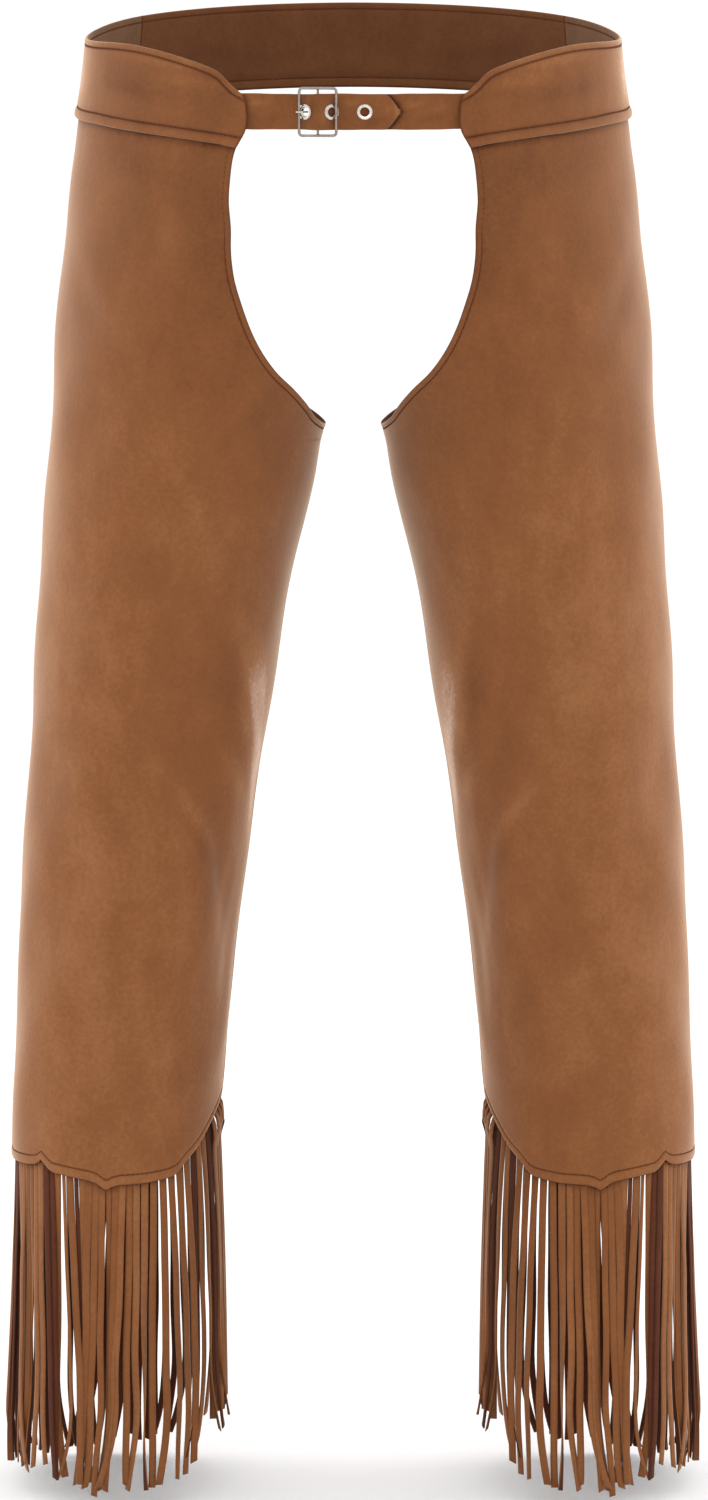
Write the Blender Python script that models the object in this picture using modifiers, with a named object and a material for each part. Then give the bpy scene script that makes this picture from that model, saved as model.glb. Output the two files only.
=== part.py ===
"""Fringed suede chaps: back waistband, two yokes, two open-seat legs, front belt and hem fringes.

World frame: metres, +Z up, the wearer faces -Y, origin at the centre of the waist ring. The tables
describe the wearer's left side (+X); the right side is its mirror image. Angles are degrees round a
section, 0 at the outer side, negative towards the front and positive towards the back.
"""
import math
import random

import bmesh
import bpy
import numpy as np
from mathutils import Matrix, Vector

MM = 0.001
COLLECTION = "fringed_chaps"
CUTTERS = "cutters"

# Cloth walls, wires and the gap left at seams
GAP = 0.3 * MM
SEAM_GAP = 0.7 * MM
LEG_WALL = 1.6 * MM
YOKE_WALL = 2.0 * MM
STRAP_WALL = 1.4 * MM
FRINGE_WALL = 1.1 * MM
FRAME_WIRE = 0.9 * MM
BAR_WIRE = 0.8 * MM
PRONG_WIRE = 0.7 * MM

# The garment's outer surface. outer: x of the outer side; mid: x of the section's centre;
# front, back: depths from the side line; rise: how much higher the ring stands at the back
# than at the side; shape: how much of the hem's cut is in the level.
SURFACE_COLUMNS = ("level", "outer", "mid", "front", "back", "rise", "shape")
SURFACE = (
    (-0.7440, 0.2386, 0.1654, 0.0725, 0.0755, 0.0000, 1.00),
    (-0.7050, 0.2367, 0.1631, 0.0735, 0.0765, 0.0000, 0.70),
    (-0.6650, 0.2344, 0.1606, 0.0755, 0.0785, 0.0000, 0.35),
    (-0.6090, 0.2316, 0.1569, 0.0790, 0.0820, 0.0000, 0.05),
    (-0.5530, 0.2291, 0.1523, 0.0825, 0.0850, 0.0000, 0.00),
    (-0.4970, 0.2255, 0.1468, 0.0865, 0.0865, 0.0000, 0.00),
    (-0.4410, 0.2220, 0.1410, 0.0910, 0.0875, 0.0000, 0.00),
    (-0.3860, 0.2189, 0.1352, 0.0945, 0.0910, 0.0000, 0.00),
    (-0.3300, 0.2147, 0.1278, 0.0980, 0.0980, 0.0000, 0.00),
    (-0.2750, 0.2105, 0.1190, 0.1030, 0.1060, 0.0000, 0.00),
    (-0.2352, 0.2075, 0.1130, 0.1080, 0.1130, 0.0000, 0.00),
    (-0.2200, 0.2061, 0.1090, 0.1105, 0.1155, 0.0000, 0.00),
    (-0.1930, 0.2038, 0.0995, 0.1150, 0.1200, 0.0000, 0.00),
    (-0.1650, 0.2016, 0.0850, 0.1195, 0.1245, 0.0015, 0.00),
    (-0.1380, 0.1993, 0.0660, 0.1240, 0.1285, 0.0040, 0.00),
    (-0.1110, 0.1964, 0.0440, 0.1280, 0.1310, 0.0080, 0.00),
    (-0.0835, 0.1935, 0.0220, 0.1305, 0.1320, 0.0120, 0.00),
    (-0.0560, 0.1900, 0.0060, 0.1310, 0.1315, 0.0160, 0.00),
    (-0.0290, 0.1870, 0.0000, 0.1300, 0.1300, 0.0180, 0.00),
    (0.0000, 0.1826, 0.0000, 0.1275, 0.1275, 0.0185, 0.00),
    (0.0300, 0.1795, 0.0000, 0.1250, 0.1250, 0.0190, 0.00),
    (0.0600, 0.1785, 0.0000, 0.1235, 0.1225, 0.0190, 0.00),
)

# Rows of a leg from its top edge to its hem, with the angles where the front and back openings cut it.
# From the crotch up to CURVE_ROW the edges meet the columns at a point of each row, one column a row.
LEG_ROW_COLUMNS = ("level", "front_edge", "back_edge")
LEG_ROWS = (
    (-0.0205, 66.2, 63.0),
    (-0.0290, 65.2, 63.2),
    (-0.0450, 65.0, 64.0),
    (-0.0640, 66.3, 65.0),
    (-0.0835, 69.8, 67.0),
    (-0.1030, 74.0, 70.5),
    (-0.1220, 79.6, 75.0),
    (-0.1410, 87.2, 80.5),
    (-0.1590, 95.8, 87.5),
    (-0.1760, 105.4, 95.5),
    (-0.1920, 116.8, 105.5),
    (-0.2060, 130.5, 116.0),
    (-0.2192, 144.5, 126.5),
    (-0.2262, 152.2, 139.0),
    (-0.2312, 161.5, 152.6),
    (-0.2342, 170.7, 166.3),
    (-0.2352, 180.0, 180.0),
    (-0.2750, 180.0, 180.0),
    (-0.3100, 180.0, 180.0),
    (-0.3550, 180.0, 180.0),
    (-0.4000, 180.0, 180.0),
    (-0.4450, 180.0, 180.0),
    (-0.4900, 180.0, 180.0),
    (-0.5350, 180.0, 180.0),
    (-0.5800, 180.0, 180.0),
    (-0.6250, 180.0, 180.0),
    (-0.6650, 180.0, 180.0),
    (-0.7050, 180.0, 180.0),
    (-0.7440, 180.0, 180.0),
)
CLOSED = 180.0
CURVE_ROW = 6
OUTER_COLUMNS = 7

# Cut of the hem: how far its edge stands above the lowest level, by angle
HEM_COLUMNS = ("angle", "height")
HEM = (
    (-180.0, 0.0433),
    (-166.0, 0.0353),
    (-157.0, 0.0234),
    (-142.0, 0.0099),
    (-131.0, 0.0027),
    (-124.6, -0.0054),
    (-108.0, -0.0081),
    (-87.5, -0.0125),
    (-71.0, -0.0056),
    (-56.0, -0.0030),
    (-44.0, 0.0010),
    (0.0, 0.0015),
    (30.0, -0.0100),
    (60.0, -0.0180),
    (90.0, -0.0110),
    (120.0, -0.0060),
    (150.0, 0.0120),
    (180.0, 0.0433),
)

# Largest folds of a leg: place, half sizes, how far the fold drifts round over its height, and depth
FOLD_COLUMNS = ("angle", "level", "half_angle", "half_level", "drift", "depth")
FOLDS = (
    (-152.0, -0.415, 20.0, 0.055, 10.0, 3.0 * MM),
    (-122.0, -0.440, 18.0, 0.070, -8.0, -2.5 * MM),
    (-150.0, -0.560, 16.0, 0.080, 6.0, -2.5 * MM),
    (-118.0, -0.590, 22.0, 0.090, 8.0, 1.8 * MM),
    (-45.0, -0.135, 20.0, 0.050, 12.0, 1.5 * MM),
    (-75.0, -0.330, 24.0, 0.090, -10.0, 1.6 * MM),
    (-30.0, -0.480, 24.0, 0.080, 10.0, -1.8 * MM),
    (118.0, -0.420, 26.0, 0.045, 14.0, 3.0 * MM),
    (96.0, -0.480, 28.0, 0.050, -12.0, -2.5 * MM),
    (60.0, -0.400, 24.0, 0.060, 10.0, -2.0 * MM),
    (75.0, -0.200, 24.0, 0.050, 10.0, 2.0 * MM),
    (140.0, -0.600, 22.0, 0.080, -8.0, 2.0 * MM),
    (45.0, -0.620, 26.0, 0.080, 10.0, 1.6 * MM),
)

# Yokes and back waistband
YOKE_LOWER = -0.0290
YOKE_FOLD_TOP = -0.0225
YOKE_FOLD = 0.7 * MM
YOKE_EDGE_DROP = -60.0
YOKE_ROW_SHARES = (0.34, 0.67, 1.0)
SEAM_COLUMN = 4
TOP_EDGE_COLUMNS = ("angle", "level")
TOP_EDGE = (
    (-66.9, 0.0095),
    (-65.3, 0.0125),
    (-63.0, 0.0175),
    (-60.7, 0.0225),
    (-56.5, 0.0270),
    (-52.0, 0.0299),
    (-45.0, 0.0330),
    (-37.0, 0.0345),
    (-28.0, 0.0335),
    (-18.0, 0.0308),
    (0.0, 0.0270),
    (35.0, 0.0285),
    (90.0, 0.0290),
)
BACK_MIDDLE = (69.0, 76.0, 83.0, 90.0)

# Belt: x of the buckle's bar, height of the belt's middle, and paths across the front.
# along: distance from the bar towards the wearer's left; out: distance in front of the waist's surface.
BELT_Z = -0.01925
BELT_HALF = 11.85 * MM
BAR_X = -0.0232
PATH_COLUMNS = ("along", "out")
TONGUE_PATH = (
    (-62.8, -2.3),
    (-49.5, -2.2),
    (-36.0, -1.5),
    (-24.0, -1.1),
    (-16.5, -1.4),
    (-14.2, -1.35),
    (-12.9, -1.0),
    (-8.1, 1.88),
    (-3.4, 4.7),
    (-1.8, 5.4),
    (0.0, 5.7),
    (1.8, 5.4),
    (3.4, 4.7),
    (8.7, 1.52),
    (12.9, -1.0),
    (14.2, -1.35),
    (16.5, -1.2),
    (21.0, -0.1),
    (24.5, 0.95),
    (36.5, 1.1),
    (44.5, 1.2),
    (48.0, 1.35),
    (51.0, 1.5),
    (53.0, 1.65),
    (54.1, 1.7),
)
TIP_START = 44.5
TIP_LENGTH = 9.6
TIP_POWER = 2.2
TIP_HALF = 1.6 * MM
HOLDER_PATH = (
    (109.2, -2.3),
    (96.0, -2.2),
    (78.0, -1.5),
    (60.0, -1.3),
    (40.0, -1.6),
    (27.0, -1.6),
    (21.0, -2.5),
    (16.5, -3.4),
    (12.9, -3.8),
    (8.0, -1.02),
    (3.5, 1.53),
)
RETURN_PATH = (
    (12.9, -6.0),
    (16.5, -5.6),
    (21.0, -4.6),
    (27.0, -3.7),
    (34.0, -3.6),
)
FRAME_OUT = 2.65
FRAME_HALF_WIDTH = 12.3
FRAME_HALF_HEIGHT = 15.6
FRAME_CORNER = 2.2
CORNER_TURNS = (0.0, 30.0, 60.0, 90.0)
BAR_OUT = 1.45
LOOP_RADIUS = 1.8
LOOP_ANGLES = (59.0, 90.0, 120.0, 150.0, 180.0, 210.0, 240.0, 270.0, 287.0)
SLOT_ALONG = -0.6
SLOT_REACH = 3.4
SLOT_HALF = 2.3
PRONG_ANGLES = (210.0, 240.0, 270.0, 300.0, 330.0, 360.0, 390.0, 420.0, 450.0, 481.0)
PRONG_PATH = (
    (-4.8, 0.67),
    (-6.3, 0.45),
    (-8.1, 1.9),
    (-9.9, 3.9),
    (-12.3, 4.6),
    (-14.3, 4.7),
)

# Eyelets: places along the tongue strap and one profile, radius against height over the strap's middle
EYELETS = (
    ("eyelet_1", -8.1),
    ("eyelet_2", 8.7),
    ("eyelet_3", 30.8),
)
EYELET_HOLE = 3.6 * MM
HOLE_STEPS = 16
SLOPE_STEP = 1.0
EYELET_STEPS = 16
EYELET_PROFILE = (
    (2.9, -1.40),
    (4.7, -1.35),
    (4.7, -1.02),
    (3.3, -1.02),
    (3.3, 1.02),
    (5.3, 1.02),
    (5.1, 1.35),
    (4.1, 1.60),
    (3.2, 1.45),
    (2.9, 1.05),
)

# Fringe
STRANDS = 84
STRAND_LENGTH = 0.2150
STRAND_WIDTH = 4.3 * MM
STRAND_STEPS = 4
STRIP_SHARE = 0.32
FRINGE_SEED = 13
LAYER = 1.3 * MM
LAYER_RAMP = 3.0
FLARE = 2.5 * MM
SIDE_FLARE = 4.0 * MM
CURL = 4
SWAY = 6.0 * MM
STRAY = 1.8 * MM
TWIST = 14.0
LENGTH_SPREAD = 2.0 * MM

SUEDE = (0.289, 0.107, 0.036, 1.0)
SUEDE_BACK = (0.112, 0.042, 0.018, 1.0)
STEEL = (0.560, 0.540, 0.510, 1.0)


def column(table, names, name):
    """One named column of a table, as an array."""
    return np.array([row[names.index(name)] for row in table])


def smooth(x, xs, ys):
    """Value at x of a curve with continuous slope through the rising points xs, ys."""
    x = min(max(x, xs[0]), xs[-1])
    i = int(min(np.searchsorted(xs, x, side="right") - 1, len(xs) - 2))
    slopes = np.gradient(ys, xs)
    h = xs[i + 1] - xs[i]
    t = (x - xs[i]) / h
    a = (2 * t**3 - 3 * t**2 + 1) * ys[i] + (t**3 - 2 * t**2 + t) * h * slopes[i]
    b = (3 * t**2 - 2 * t**3) * ys[i + 1] + (t**3 - t**2) * h * slopes[i + 1]
    return float(a + b)


def at_level(level, name):
    """A surface column's value at a level."""
    return smooth(level, column(SURFACE, SURFACE_COLUMNS, "level"), column(SURFACE, SURFACE_COLUMNS, name))


def fold_height(angle, level):
    """How far the largest folds push the surface out."""
    total = 0.0
    for row in FOLDS:
        fold = dict(zip(FOLD_COLUMNS, row))
        up = (level - fold["level"]) / fold["half_level"]
        round_it = angle - fold["angle"] - fold["drift"] * up
        round_it = (round_it + CLOSED) % (2 * CLOSED) - CLOSED
        total += fold["depth"] * math.exp(-up * up - (round_it / fold["half_angle"]) ** 2)
    return total


def surface_point(angle, level, out=0.0):
    """Point of the garment's outer surface on the wearer's left side, moved out by a distance."""
    turn = math.radians(angle)
    mid = at_level(level, "mid")
    half = at_level(level, "outer") - mid
    depth = at_level(level, "front" if angle < 0 else "back")
    normal = Vector((math.cos(turn) / half, math.sin(turn) / depth, 0.0)).normalized()
    hem = float(np.interp(angle, column(HEM, HEM_COLUMNS, "angle"), column(HEM, HEM_COLUMNS, "height")))
    z = level + at_level(level, "rise") * math.sin(turn) + at_level(level, "shape") * hem
    point = Vector((mid + half * math.cos(turn), depth * math.sin(turn), z))
    return point + normal * (out + fold_height(angle, level))


def clear_scene():
    """Remove everything that is in the file already."""
    for obj in list(bpy.data.objects):
        bpy.data.objects.remove(obj, do_unlink=True)


def make_collection(name):
    """A new collection linked to the scene."""
    made = bpy.data.collections.new(name)
    bpy.context.scene.collection.children.link(made)
    return made


def make_material(name, colour, roughness, metallic):
    """A plain material."""
    material = bpy.data.materials.new(name)
    material.use_nodes = True
    shader = material.node_tree.nodes["Principled BSDF"]
    shader.inputs["Base Color"].default_value = colour
    shader.inputs["Roughness"].default_value = roughness
    shader.inputs["Metallic"].default_value = metallic
    return material


def add_object(name, mesh, collection, material):
    """Put a mesh in the scene under a name, shaded smooth."""
    obj = bpy.data.objects.new(name, mesh)
    collection.objects.link(obj)
    mesh.materials.append(material)
    mesh.polygons.foreach_set("use_smooth", [True] * len(mesh.polygons))
    return obj


def mesh_from(name, points, faces, side=1):
    """A mesh; side -1 mirrors it to the wearer's right and keeps its faces turned out."""
    placed = [(side * p[0], p[1], p[2]) for p in points]
    turned = [tuple(reversed(face)) if side < 0 else tuple(face) for face in faces]
    mesh = bpy.data.meshes.new(name)
    mesh.from_pydata(placed, [], turned)
    mesh.update()
    return mesh


def grid_mesh(name, grid, side=1):
    """A sheet through rows of points that run downwards, each row from the front to the back."""
    width = len(grid[0])
    points = [p for row in grid for p in row]
    faces = []
    for r in range(len(grid) - 1):
        for c in range(width - 1):
            a = r * width + c
            faces.append((a, a + width, a + width + 1, a + 1))
    return mesh_from(name, points, faces, side)


def thicken(obj, wall, offset):
    """Give a sheet its wall."""
    solid = obj.modifiers.new("Wall", "SOLIDIFY")
    solid.thickness = wall
    solid.offset = offset
    solid.use_even_offset = True
    solid.use_quality_normals = True


def cut(obj, cutter):
    """Take a cutter out of an object."""
    boolean = obj.modifiers.new("Cut", "BOOLEAN")
    boolean.operation = "DIFFERENCE"
    boolean.solver = "EXACT"
    boolean.object = cutter
    cutter.hide_render = True
    cutter.display_type = "WIRE"


def half_angles(index, name):
    """Angles of a leg row's columns on one half, from the opening's edge to the outer side."""
    edges = [row[LEG_ROW_COLUMNS.index(name)] for row in LEG_ROWS]
    curve = [edges[r] for r in range(CURVE_ROW, len(edges)) if edges[r] < edges[index]]
    inner = sorted(set(curve), reverse=True)
    outer_edge = min(edges[index], edges[CURVE_ROW])
    outer = [outer_edge * (1 - k / OUTER_COLUMNS) for k in range(1, OUTER_COLUMNS + 1)]
    return [edges[index]] + inner + outer


def leg_angles(index):
    """Angles of a leg row's columns, from the front opening round the outer side to the back opening."""
    front = [-a for a in half_angles(index, "front_edge")]
    back = half_angles(index, "back_edge")[-2::-1]
    return front + back


def leg_mesh(name, side):
    """One leg: open above the crotch, a tube below it."""
    points = []
    rows = []
    for index, row in enumerate(LEG_ROWS):
        angles = leg_angles(index)
        closed = row[1] >= CLOSED
        if closed:
            angles = angles[:-1]
        first = len(points)
        points.extend(surface_point(angle, row[0]) for angle in angles)
        indices = list(range(first, len(points)))
        if closed:
            indices.append(first)
        rows.append(indices)
    faces = []
    for upper, lower in zip(rows, rows[1:]):
        extra = (len(lower) - len(upper)) // 2
        for c in range(len(upper) - 1):
            faces.append((upper[c], lower[c + extra], lower[c + extra + 1], upper[c + 1]))
        if extra:
            faces.append((upper[0], lower[0], lower[1]))
            faces.append((upper[-1], lower[-2], lower[-1]))
    return mesh_from(name, points, faces, side)


def band_grid(angles):
    """Rows of a yoke or waistband from its top edge to its folded lower edge."""
    edge_angles = column(TOP_EDGE, TOP_EDGE_COLUMNS, "angle")
    edge_levels = column(TOP_EDGE, TOP_EDGE_COLUMNS, "level")
    out = GAP + YOKE_WALL
    start = LEG_ROWS[0][0]
    grid = []
    for share in reversed(YOKE_ROW_SHARES):
        row = []
        for angle in angles:
            top = float(np.interp(angle, edge_angles, edge_levels))
            row.append(surface_point(angle, start + share * (top - start), out))
        grid.append(row)
    grid.append([surface_point(angle, start, out) for angle in angles])
    grid.append([surface_point(angle, YOKE_FOLD_TOP, out + YOKE_FOLD) for angle in angles])
    grid.append([surface_point(angle, YOKE_LOWER, out + YOKE_FOLD) for angle in angles])
    return grid


def yoke_angles():
    """Columns of a yoke: the leg's own columns, its front end and the points of its top edge."""
    columns = leg_angles(0)[: OUTER_COLUMNS + SEAM_COLUMN + 1]
    edge = [float(a) for a in column(TOP_EDGE, TOP_EDGE_COLUMNS, "angle") if a < YOKE_EDGE_DROP]
    return sorted(columns + edge)


def back_band_mesh(name):
    """The back waistband, from one side-back seam round the back to the other."""
    columns = leg_angles(0)[OUTER_COLUMNS + SEAM_COLUMN + 1:]
    seam = leg_angles(0)[OUTER_COLUMNS + SEAM_COLUMN]
    radius = surface_point(seam, YOKE_LOWER).to_2d().length
    start = seam + math.degrees(SEAM_GAP / radius)
    half = band_grid([start] + columns + list(BACK_MIDDLE))
    grid = []
    for row in half:
        mirrored = [Vector((-p.x, p.y, p.z)) for p in reversed(row[:-1])]
        grid.append(row + mirrored)
    return grid_mesh(name, grid)


def belt_place(along, out):
    """Point in plan on the belt's line, and the direction out of it; both in metres."""
    x = BAR_X + along * MM
    half = at_level(0.0, "outer")
    depth = at_level(0.0, "front")
    y = -depth * math.sqrt(1.0 - (x / half) ** 2)
    normal = Vector((x / half**2, y / depth**2, 0.0)).normalized()
    return Vector((x, y, BELT_Z)) + normal * out * MM, normal


def strap_mesh(name, path, heights):
    """A strap along a path; heights gives the heights of a column's points over the belt's middle."""
    rows = []
    for along, out in path:
        place, _ = belt_place(along, out)
        rows.append([place + Vector((0.0, 0.0, h)) for h in heights(along)])
    return grid_mesh(name, rows)


def loop_points(radius, angles):
    """Points round the buckle's bar."""
    turns = [math.radians(a) for a in angles]
    return [(radius * math.cos(t), BAR_OUT + radius * math.sin(t)) for t in turns]


def tongue_heights(along):
    """Heights of the tongue strap's points, drawn in to a point at its end."""
    share = min(max((along - TIP_START) / TIP_LENGTH, 0.0), 1.0)
    half = max(BELT_HALF * (1 - share**TIP_POWER), TIP_HALF)
    return [half, -half]


def holder_heights(along):
    """Heights of the buckle strap's points."""
    return [BELT_HALF, -BELT_HALF]


def cylinder(name, radius, depth, collection, material):
    """A closed cylinder standing on Z round its own origin."""
    mesh = bpy.data.meshes.new(name)
    shape = bmesh.new()
    bmesh.ops.create_cone(
        shape, cap_ends=True, segments=HOLE_STEPS, radius1=radius, radius2=radius, depth=depth
    )
    shape.to_mesh(mesh)
    shape.free()
    return add_object(name, mesh, collection, material)


def wire(name, points, radius, closed, collection, material):
    """A round wire along a line of points, as a mesh."""
    curve = bpy.data.curves.new(name, "CURVE")
    curve.dimensions = "3D"
    curve.bevel_depth = radius
    curve.bevel_resolution = 2
    curve.use_fill_caps = not closed
    spline = curve.splines.new("POLY")
    spline.points.add(len(points) - 1)
    for point, place in zip(spline.points, points):
        point.co = (place[0], place[1], place[2], 1.0)
    spline.use_cyclic_u = closed
    holder = bpy.data.objects.new(name + "_line", curve)
    collection.objects.link(holder)
    mesh = bpy.data.meshes.new_from_object(holder.evaluated_get(bpy.context.evaluated_depsgraph_get()))
    bpy.data.objects.remove(holder, do_unlink=True)
    shape = bmesh.new()
    shape.from_mesh(mesh)
    bmesh.ops.remove_doubles(shape, verts=shape.verts, dist=0.01 * MM)
    bmesh.ops.recalc_face_normals(shape, faces=shape.faces)
    shape.to_mesh(mesh)
    shape.free()
    mesh.name = name
    mesh.materials.clear()
    return add_object(name, mesh, collection, material)


def buckle_axes():
    """Matrix that carries (along, out, up) in metres to the buckle's place on the belt."""
    origin, normal = belt_place(0.0, 0.0)
    along = Vector((-normal.y, normal.x, 0.0))
    frame = Matrix((along, normal, Vector((0.0, 0.0, 1.0)))).transposed().to_4x4()
    frame.translation = origin
    return frame


def buckle_frame(collection, cutters, material):
    """The wire frame with its centre bar, one solid."""
    axes = buckle_axes()
    corners = []
    centres = ((1, 1, 0.0), (-1, 1, 90.0), (-1, -1, 180.0), (1, -1, 270.0))
    for sx, sz, start in centres:
        for step in CORNER_TURNS:
            turn = math.radians(start + step)
            along = sx * (FRAME_HALF_WIDTH - FRAME_CORNER) + FRAME_CORNER * math.cos(turn)
            up = sz * (FRAME_HALF_HEIGHT - FRAME_CORNER) + FRAME_CORNER * math.sin(turn)
            corners.append(axes @ Vector((along * MM, FRAME_OUT * MM, up * MM)))
    frame = wire("buckle_frame", corners, FRAME_WIRE, True, collection, material)
    ends = [axes @ Vector((0.0, BAR_OUT * MM, sz * FRAME_HALF_HEIGHT * MM)) for sz in (1, -1)]
    bar = wire("buckle_bar", ends, BAR_WIRE, False, cutters, material)
    bar.hide_render = True
    bar.display_type = "WIRE"
    joined = frame.modifiers.new("Bar", "BOOLEAN")
    joined.operation = "UNION"
    joined.solver = "EXACT"
    joined.object = bar
    return frame


def buckle_prong(collection, material):
    """The prong: hooked round the bar, through the first eyelet and over the frame's side."""
    axes = buckle_axes()
    flat = loop_points(LOOP_RADIUS, PRONG_ANGLES) + list(PRONG_PATH)
    points = [axes @ Vector((along * MM, out * MM, 0.0)) for along, out in flat]
    return wire("buckle_prong", points, PRONG_WIRE, False, collection, material)


def strap_slope(along):
    """Place and outward direction of the tongue strap's middle at an eyelet."""
    alongs = column(TONGUE_PATH, PATH_COLUMNS, "along")
    outs = column(TONGUE_PATH, PATH_COLUMNS, "out")
    before, _ = belt_place(along - SLOPE_STEP, float(np.interp(along - SLOPE_STEP, alongs, outs)))
    after, _ = belt_place(along + SLOPE_STEP, float(np.interp(along + SLOPE_STEP, alongs, outs)))
    run = (after - before).normalized()
    return (before + after) / 2, Vector((run.y, -run.x, 0.0))


def stand_on(obj, place, direction):
    """Turn an object's own Z to a direction and move it to a place."""
    obj.matrix_world = Matrix.Translation(place) @ direction.to_track_quat("Z", "Y").to_matrix().to_4x4()


def eyelet(name, along, collection, material):
    """One eyelet: its profile turned round its axis with Screw."""
    points = [(radius * MM, 0.0, height * MM) for radius, height in EYELET_PROFILE]
    mesh = bpy.data.meshes.new(name)
    edges = [(i, (i + 1) % len(points)) for i in range(len(points))]
    mesh.from_pydata(points, edges, [])
    obj = add_object(name, mesh, collection, material)
    screw = obj.modifiers.new("Turn", "SCREW")
    screw.axis = "Z"
    screw.angle = math.tau
    screw.steps = EYELET_STEPS
    screw.render_steps = EYELET_STEPS
    screw.use_merge_vertices = True
    screw.merge_threshold = 0.01 * MM
    screw.use_normal_flip = True
    place, direction = strap_slope(along)
    stand_on(obj, place, direction)
    return obj


def tongue_strap(collection, cutters, material):
    """The strap with the point and its three holes."""
    mesh = strap_mesh("belt_tongue", TONGUE_PATH, tongue_heights)
    obj = add_object("belt_tongue", mesh, collection, material)
    thicken(obj, STRAP_WALL, 0.0)
    for name, along in EYELETS:
        hole = cylinder(name + "_hole", EYELET_HOLE, 4 * STRAP_WALL, cutters, material)
        place, direction = strap_slope(along)
        stand_on(hole, place, direction)
        cut(obj, hole)
    return obj


def holder_strap(collection, cutters, material):
    """The strap folded round the bar, with a slot for the prong."""
    path = list(HOLDER_PATH) + loop_points(LOOP_RADIUS, LOOP_ANGLES) + list(RETURN_PATH)
    mesh = strap_mesh("belt_buckle_strap", path, holder_heights)
    mesh.flip_normals()
    obj = add_object("belt_buckle_strap", mesh, collection, material)
    thicken(obj, STRAP_WALL, 0.0)
    slot = bpy.data.meshes.new("slot")
    shape = bmesh.new()
    bmesh.ops.create_cube(shape, size=2.0)
    shape.to_mesh(slot)
    shape.free()
    box = add_object("slot", slot, cutters, material)
    box.matrix_world = (
        buckle_axes()
        @ Matrix.Translation((SLOT_ALONG * MM, BAR_OUT * MM, 0.0))
        @ Matrix.Diagonal((SLOT_REACH * MM, SLOT_REACH * MM, SLOT_HALF * MM, 1.0))
    )
    cut(obj, box)
    return obj


def hem_rings():
    """Points of the fringe strip's upper and lower edges, with outward directions, at the leg's columns."""
    inset = -(LEG_WALL + GAP)
    angles = leg_angles(len(LEG_ROWS) - 1)
    lower = [surface_point(angle, LEG_ROWS[-1][0], inset) for angle in angles]
    above = [surface_point(angle, LEG_ROWS[-2][0], inset) for angle in angles]
    upper = [low.lerp(high, STRIP_SHARE) for low, high in zip(lower, above)]
    return upper, lower


def ring_point(ring, lengths, distance):
    """Point of a ring of straight pieces at a share of the lower ring's length."""
    distance = distance % lengths[-1]
    i = int(min(np.searchsorted(lengths, distance, side="right") - 1, len(ring) - 2))
    share = (distance - lengths[i]) / (lengths[i + 1] - lengths[i])
    return ring[i].lerp(ring[i + 1], share)


def strand_points(root, along, outward, index, rng, waves):
    """Left and right points down one strand, below its root."""
    place = math.tau * index / STRANDS
    sway = SWAY * sum(a * math.sin(n * place + p) for n, a, p in waves)
    stray = rng.uniform(-STRAY, STRAY)
    layer = LAYER if index % 2 else -LAYER
    sideways = SIDE_FLARE * abs(outward.x)
    twist = math.radians(rng.uniform(-TWIST, TWIST))
    length = STRAND_LENGTH + rng.uniform(-LENGTH_SPREAD, LENGTH_SPREAD)
    pairs = []
    for step in range(1, STRAND_STEPS + 1):
        s = step / STRAND_STEPS
        ease = s * s
        side_shift = sway * ease + stray * math.sin(0.5 * math.pi * s)
        spread = ease if outward.x > 0 else 1.0 - (1.0 - s) ** CURL
        out_shift = FLARE * s + sideways * spread + layer * min(1.0, LAYER_RAMP * s)
        middle = root + along * side_shift + outward * out_shift + Vector((0.0, 0.0, -length * s))
        turn = twist * s
        across = (along * math.cos(turn) + outward * math.sin(turn)) * (STRAND_WIDTH / 2)
        pairs.append((middle - across, middle + across))
    return pairs


def fringe_mesh(name, side):
    """A strip inside the hem, cut into strands below it."""
    rng = random.Random(FRINGE_SEED + side)
    waves = [(n, rng.uniform(0.2, 0.6), rng.uniform(0.0, math.tau)) for n in (2, 3, 5, 7)]
    upper, lower = hem_rings()
    lengths = np.concatenate(([0.0], np.cumsum([(b - a).length for a, b in zip(lower, lower[1:])])))
    pitch = lengths[-1] / STRANDS
    points = []
    faces = []
    tops = []
    roots = []
    for index in range(STRANDS):
        middle = (index + 0.5) * pitch
        for end in (-0.5, 0.5):
            distance = middle + end * STRAND_WIDTH
            tops.append(len(points))
            points.append(ring_point(upper, lengths, distance))
            roots.append(len(points))
            points.append(ring_point(lower, lengths, distance))
    count = len(tops)
    for k in range(count):
        following = (k + 1) % count
        faces.append((tops[k], roots[k], roots[following], tops[following]))
    for index in range(STRANDS):
        left, right = roots[2 * index], roots[2 * index + 1]
        root = (points[left] + points[right]) / 2
        along = points[right] - points[left]
        along = Vector((along.x, along.y, 0.0)).normalized()
        outward = Vector((along.y, -along.x, 0.0))
        for pair in strand_points(root, along, outward, index, rng, waves):
            first = len(points)
            points.extend(pair)
            faces.append((left, first, first + 1, right))
            left, right = first, first + 1
    return mesh_from(name, points, faces, side)


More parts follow.
